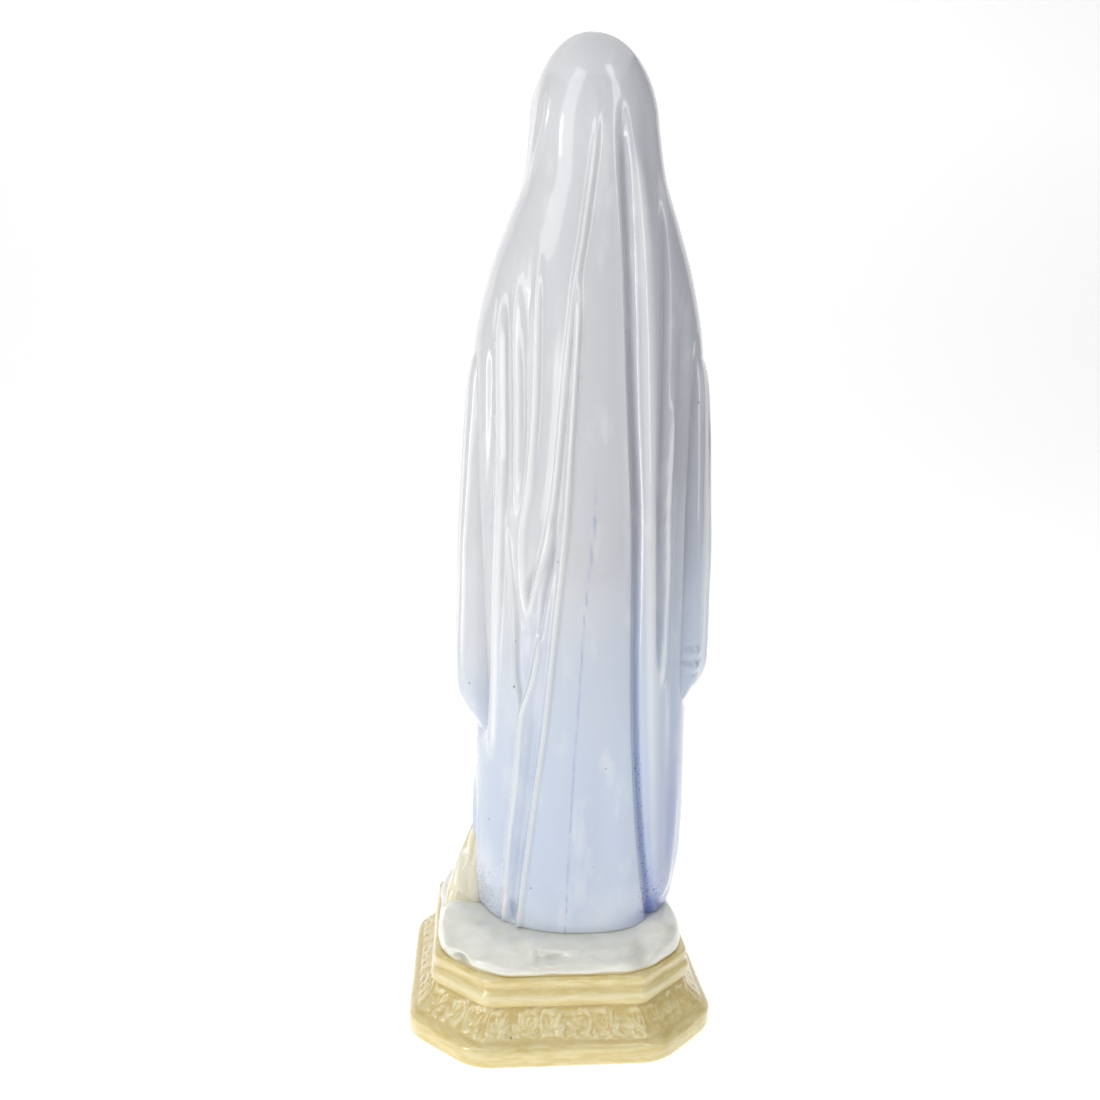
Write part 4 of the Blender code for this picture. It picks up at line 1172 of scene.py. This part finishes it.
def buildHand(word, side):
    look = handLook
    axis, breadth, knuckles = (np.array(look[key]) for key in ("axis", "breadth", "knuckles"))

    def at(across, along, radius, out=0.0):
        y, z = knuckles + breadth * across + axis * along
        return (look["middleX"] + side * (look["palm"] + radius + out), y, z)

    balls = []
    for across, length, wide, thin in look["fingers"]:
        for step in np.linspace(0, 1, 22):
            # a finger tapers, swells at its joint and arches a little away from the other hand
            radius = wide + (thin - wide) * step + 0.12 * ridge(step - 0.42, 0.08)
            out = 0.2 * np.sin(np.pi * step)
            balls.append((*at(across * (1 - 0.16 * step), length * step, radius, out), radius))
        balls += beads([at(across, 0, wide + 0.5), at(across * 0.8, -7, 2.1), at(across * 0.55, -12, 2.3)],
                       [wide + 0.5, 2.1, 2.3], 14)
    thumb = [at(3.2, -9.5, 2.1), at(5.4, -3.5, 1.7), at(6.2, 2.6, 1.35, -0.5), at(6.0, 7.6, 1.05, -0.7)]
    balls += beads(thumb, [2.1, 1.75, 1.45, 1.05], 24)
    wrist = [at(0, -8, 2.9), at(0.2, -12.5, 2.9, 0.6), (look["middleX"] + side * 7.2, -37.4, 260.6)]
    balls += beads(wrist, [3.0, 2.9, 3.0], 14)
    fusedPiece(f"hand_{word}_fingers", balls, look["voxel"], 5, "flesh_glaze", f"hand_{word}")


# feet

footLook = {"voxel": 0.36, "heelY": -38.0, "floor": 38.0,
            # place across the foot from the big toe's side, reach forward, radius
            "toes": ((-3.1, 6.3, 1.25), (-1.1, 6.2, 0.95), (0.6, 5.7, 0.88), (2.1, 5.0, 0.8),
                     (3.4, 4.1, 0.75))}


def buildFoot(word, x, side):
    look = footLook
    heel, floor = look["heelY"], look["floor"]
    balls = []
    for across, reach, radius in look["toes"]:
        toeX = x + side * across
        path = [(toeX * 0.6 + x * 0.4, heel - 0.5, floor + 2.3), (toeX, heel - reach * 0.55, floor + 1.5),
                (toeX, heel - reach, floor + radius)]
        balls += beads(path, [1.9, radius * 1.05, radius], 14)
        balls.append((toeX, heel - reach - 0.15, floor + radius * 1.05, radius * 1.06))
    instep = [(x - 1.6, heel + 1, floor + 2.5), (x + 1.6, heel + 1, floor + 2.5)]
    balls += beads(instep, [2.3, 2.3], 6)
    fusedPiece(f"foot_{word}_toes", balls, look["voxel"], 4, "flesh_glaze", f"foot_{word}")


# sash

sashLook = {"foot": 211.0, "top": 220.0, "halfAngle": 78.0, "thick": 2.3, "middleX": -7.5,
            "columns": 240, "around": 56, "pleats": 8.2}
tailLook = {"top": 213.0, "longest": 112, "thick": 2.0, "columns": 190, "around": 48, "notch": 9}
knotLook = {"height": 215.3, "out": 3.4, "half": (4.6, 2.9, 4.9), "columns": 90, "rows": 60}


def clothSection(v, columns):
    # round a flat strip's section: across from -1 to 1 and back, and whether on top; ends are rounded off
    k = np.round(v * columns)
    across = np.where(k <= columns / 2, k, columns - k) / (columns / 2) * 2 - 1
    edge = np.sqrt(np.clip(1 - np.abs(across) ** 8, 0, 1))
    return across, np.where(k <= columns / 2, edge, 0)


def buildBand():
    look = sashLook
    middle, half = (look["foot"] + look["top"]) / 2, (look["top"] - look["foot"]) / 2

    def shape(u, v):
        across, upper = clothSection(v, look["around"])
        degrees = 180 + (2 * u - 1) * look["halfAngle"]
        pinch = 1 - 0.28 * ridge(degrees - 180, 9) - 0.04 * np.sin(degrees * 0.19)
        z = middle + across * half * pinch
        pleat = 0.42 * np.cos(across * look["pleats"] + 0.9 * np.sin(degrees * 0.07))
        pleat += 0.18 * np.cos(across * 17 + degrees * 0.08)
        ends = ease(0, 0.01, u) * ease(1, 0.99, u)
        out = gownRelief(degrees, z) * 0.2 + 0.1 + upper * (look["thick"] + pleat) * ends
        return np.array([*gownSurface(degrees, z, out), z])

    def marks(x, y, z):
        return {"pool": 0.7 * ease(0.2, -0.8, np.cos((z - middle) / half * look["pleats"]))}

    made = gridPiece(look["columns"], look["around"], shape)
    finishPiece(made, "sash_band_pleats", "sash_blue_glaze", "sash_band", marks)


def buildTail(word, lean, foot):
    look = tailLook
    top = look["top"]

    def shape(u, v):
        across, upper = clothSection(v, look["around"])
        z = top + (foot - top) * u
        low = (top - z) / (top - look["longest"])
        notch = ease(top - foot - look["notch"], top - foot, top - z) * (1 - np.abs(across)) * 5.0
        middle = 180 + lean * (3.0 + 9.5 * low + 1.6 * np.sin(low * 7))
        degrees = middle + across * (3.4 + 4.6 * ease(0, 0.5, low))
        pleat = 0.55 * np.cos(across * 5.0 + low * 2.2 * lean) + 0.3 * np.sin(low * 9 + across)
        ends = ease(0, 0.01, u) * ease(1, 0.985, u)
        out = gownRelief(degrees, z) * 0.55 + upper * (look["thick"] + pleat) * ends + 0.05
        x, y = gownSurface(degrees, z, out)
        return np.array([x, y, z + notch])

    def marks(x, y, z):
        middleX = section(z)[0]
        return {"pool": 0.55 * ease(0.1, -0.9, np.cos((x - middleX) * 1.4 + z * 0.05 * lean))}

    made = gridPiece(look["columns"], look["around"], shape)
    finishPiece(made, f"sash_tail_{word}_ribbon", "sash_blue_glaze", f"sash_tail_{word}", marks)


def buildKnot():
    look = knotLook
    halfX, halfY, halfZ = look["half"]
    middleX, middleZ = sashLook["middleX"], look["height"]
    _, frontY = gownSurface(np.array([180.0]), np.array([215.5]), 0)
    middleY = float(frontY[0]) - look["out"]

    def fold(turn, level):
        # five soft lobes that twist from the knot's foot to its top
        return np.cos(turn * 5 + 2.4 * level)

    def shape(u, v):
        level, ring, turn = np.cos(np.pi * v), np.sin(np.pi * v), u * 2 * np.pi
        size = ring * (1 + 0.10 * fold(turn, level) * ring)
        return np.array([middleX + halfX * size * np.cos(turn), middleY + halfY * size * np.sin(turn),
                         middleZ - halfZ * level * (1 + 0.06 * np.cos(turn * 3))])

    def marks(x, y, z):
        turn = np.arctan2((y - middleY) / halfY, (x - middleX) / halfX)
        return {"pool": 0.6 * ease(0, -0.8, fold(turn, (middleZ - z) / halfZ))}

    made = gridPiece(look["columns"], look["rows"], shape)
    finishPiece(made, "sash_knot_fold", "sash_blue_glaze", "sash_knot", marks)


buildGown()
for word in drapes:
    buildDrape(word)
print("gown and drapes thrown")
buildMound()
buildPedestal()
print("base pressed")
buildHead()
for word, side in (("left", 1), ("right", -1)):
    buildSleeve(word, side)
    buildHand(word, side)
    buildFoot(word, -5.0 + side * 9.0, side)
print("head, arms and feet modelled")
buildBand()
buildKnot()
buildTail("left", -1, 112.0)
buildTail("right", 1, 100.0)
print("sash tied")


# camera, floor and light

def lookFrom(place, yaw, pitch, roll):
    # right, up and back of a camera that looks along -Y, turned by these angles
    sy, cy, sp, cp, sr, cr = (f(a) for a in (yaw, pitch, roll) for f in (np.sin, np.cos))
    ahead = np.array([sy, -cy, 0]) * cp - np.array([0, 0, sp])
    up = np.array([0, 0, cp]) + np.array([sy, -cy, 0]) * sp
    right = np.array([-cy, -sy, 0])
    turned = right * cr + up * sr, up * cr - right * sr
    matrix = Matrix([(*axes, p) for axes, p in zip(zip(turned[0], turned[1], -ahead), place)])
    return Matrix([*matrix, (0, 0, 0, 1)])


def setCamera():
    data = bpy.data.cameras.new("camera")
    data.lens = 29.11
    data.sensor_width = 36.0
    data.clip_start = 0.01
    camera = placed("camera", data)
    # place in metres; yaw, pitch and roll in radians
    camera.matrix_world = lookFrom((0.0388, 0.3578, 0.2300), -0.0903, 0.1274, 0.0282)
    bpy.context.scene.camera = camera


def addPanel(name, place, target, size, radiance, lean):
    # a soft box; lean is in degrees
    data = bpy.data.lights.new(name, "AREA")
    data.shape = "RECTANGLE"
    data.size, data.size_y = size
    data.energy = radiance * np.pi * size[0] * size[1]
    panel = placed(name, data)
    panel.location = place
    aim = (Vector(target) - Vector(place)).to_track_quat("-Z", "Y")
    panel.rotation_euler = (aim @ Quaternion((0, 0, 1), np.radians(lean))).to_euler()


# a sheet of white paper, in metres: half its length, how much wider it is, and its bend's place and radius
paperLook = {"half": 3.0, "widen": 1.15, "rows": 120, "bendFrom": 3.6, "radius": 1.2, "shift": -4.6,
             "glow": 0.47}
# place, target, size, radiance, and how far it leans in its own plane
panels = {
    "broad_window": ((0.36, 0.45, 0.62), (0, 0, 0.62), (0.26, 1.2), 1.65, -17),
    "bright_window": ((0.50, 0.33, 0.06), (0, 0, 0.06), (0.06, 0.9), 4.5, -6),
    "narrow_window": ((-0.27, 0.58, 0.84), (0, 0, 0.84), (0.13, 1.3), 2.4, 0),
    "ceiling": ((0.2, 0.0, 2.3), (0, 0, 0.2), (3.2, 3.2), 0.52, 0),
}


def paperMaterial(name, glow):
    # matt white paper, lit from behind a little so that it stays white
    paper = bpy.data.materials.new(name)
    paper.use_nodes = True
    shader = paper.node_tree.nodes["Principled BSDF"]
    for socket, value in (("Base Color", hexColour("f9f9f9")), ("Roughness", 0.9),
                          ("Emission Color", (1, 1, 1, 1)), ("Emission Strength", glow)):
        shader.inputs[socket].default_value = value
    return paper


def addPaper():
    look = paperLook
    bendFrom, radius = look["bendFrom"], look["radius"]
    made = bmesh.new()
    bmesh.ops.create_grid(made, x_segments=1, y_segments=look["rows"], size=look["half"])
    for vertex in made.verts:
        run = vertex.co.y + look["half"]
        turn = np.clip((bendFrom - run) / radius, 0, np.pi / 2)
        up = max(0.0, bendFrom - radius * np.pi / 2 - run)
        y = run if run > bendFrom else bendFrom - radius * np.sin(turn)
        vertex.co = (vertex.co.x * look["widen"], y + look["shift"], radius * (1 - np.cos(turn)) + up)
    bmesh.ops.recalc_face_normals(made, faces=made.faces)
    mesh = meshFrom(made, "paper_sweep")
    mesh.shade_smooth()
    mesh.materials.append(paperMaterial("white_background_paper", look["glow"]))
    sweep = placed("paper_sweep", mesh)


def setStage():
    addPaper()
    world = bpy.data.worlds.new("studio")
    world.use_nodes = True
    background = world.node_tree.nodes["Background"]
    background.inputs["Color"].default_value = (1, 1, 1, 1)
    background.inputs["Strength"].default_value = 0.25
    bpy.context.scene.world = world
    bpy.context.scene.view_settings.view_transform = "Standard"
    for name, panel in panels.items():
        addPanel(name, *panel)


setCamera()
setStage()
print("camera and light set")
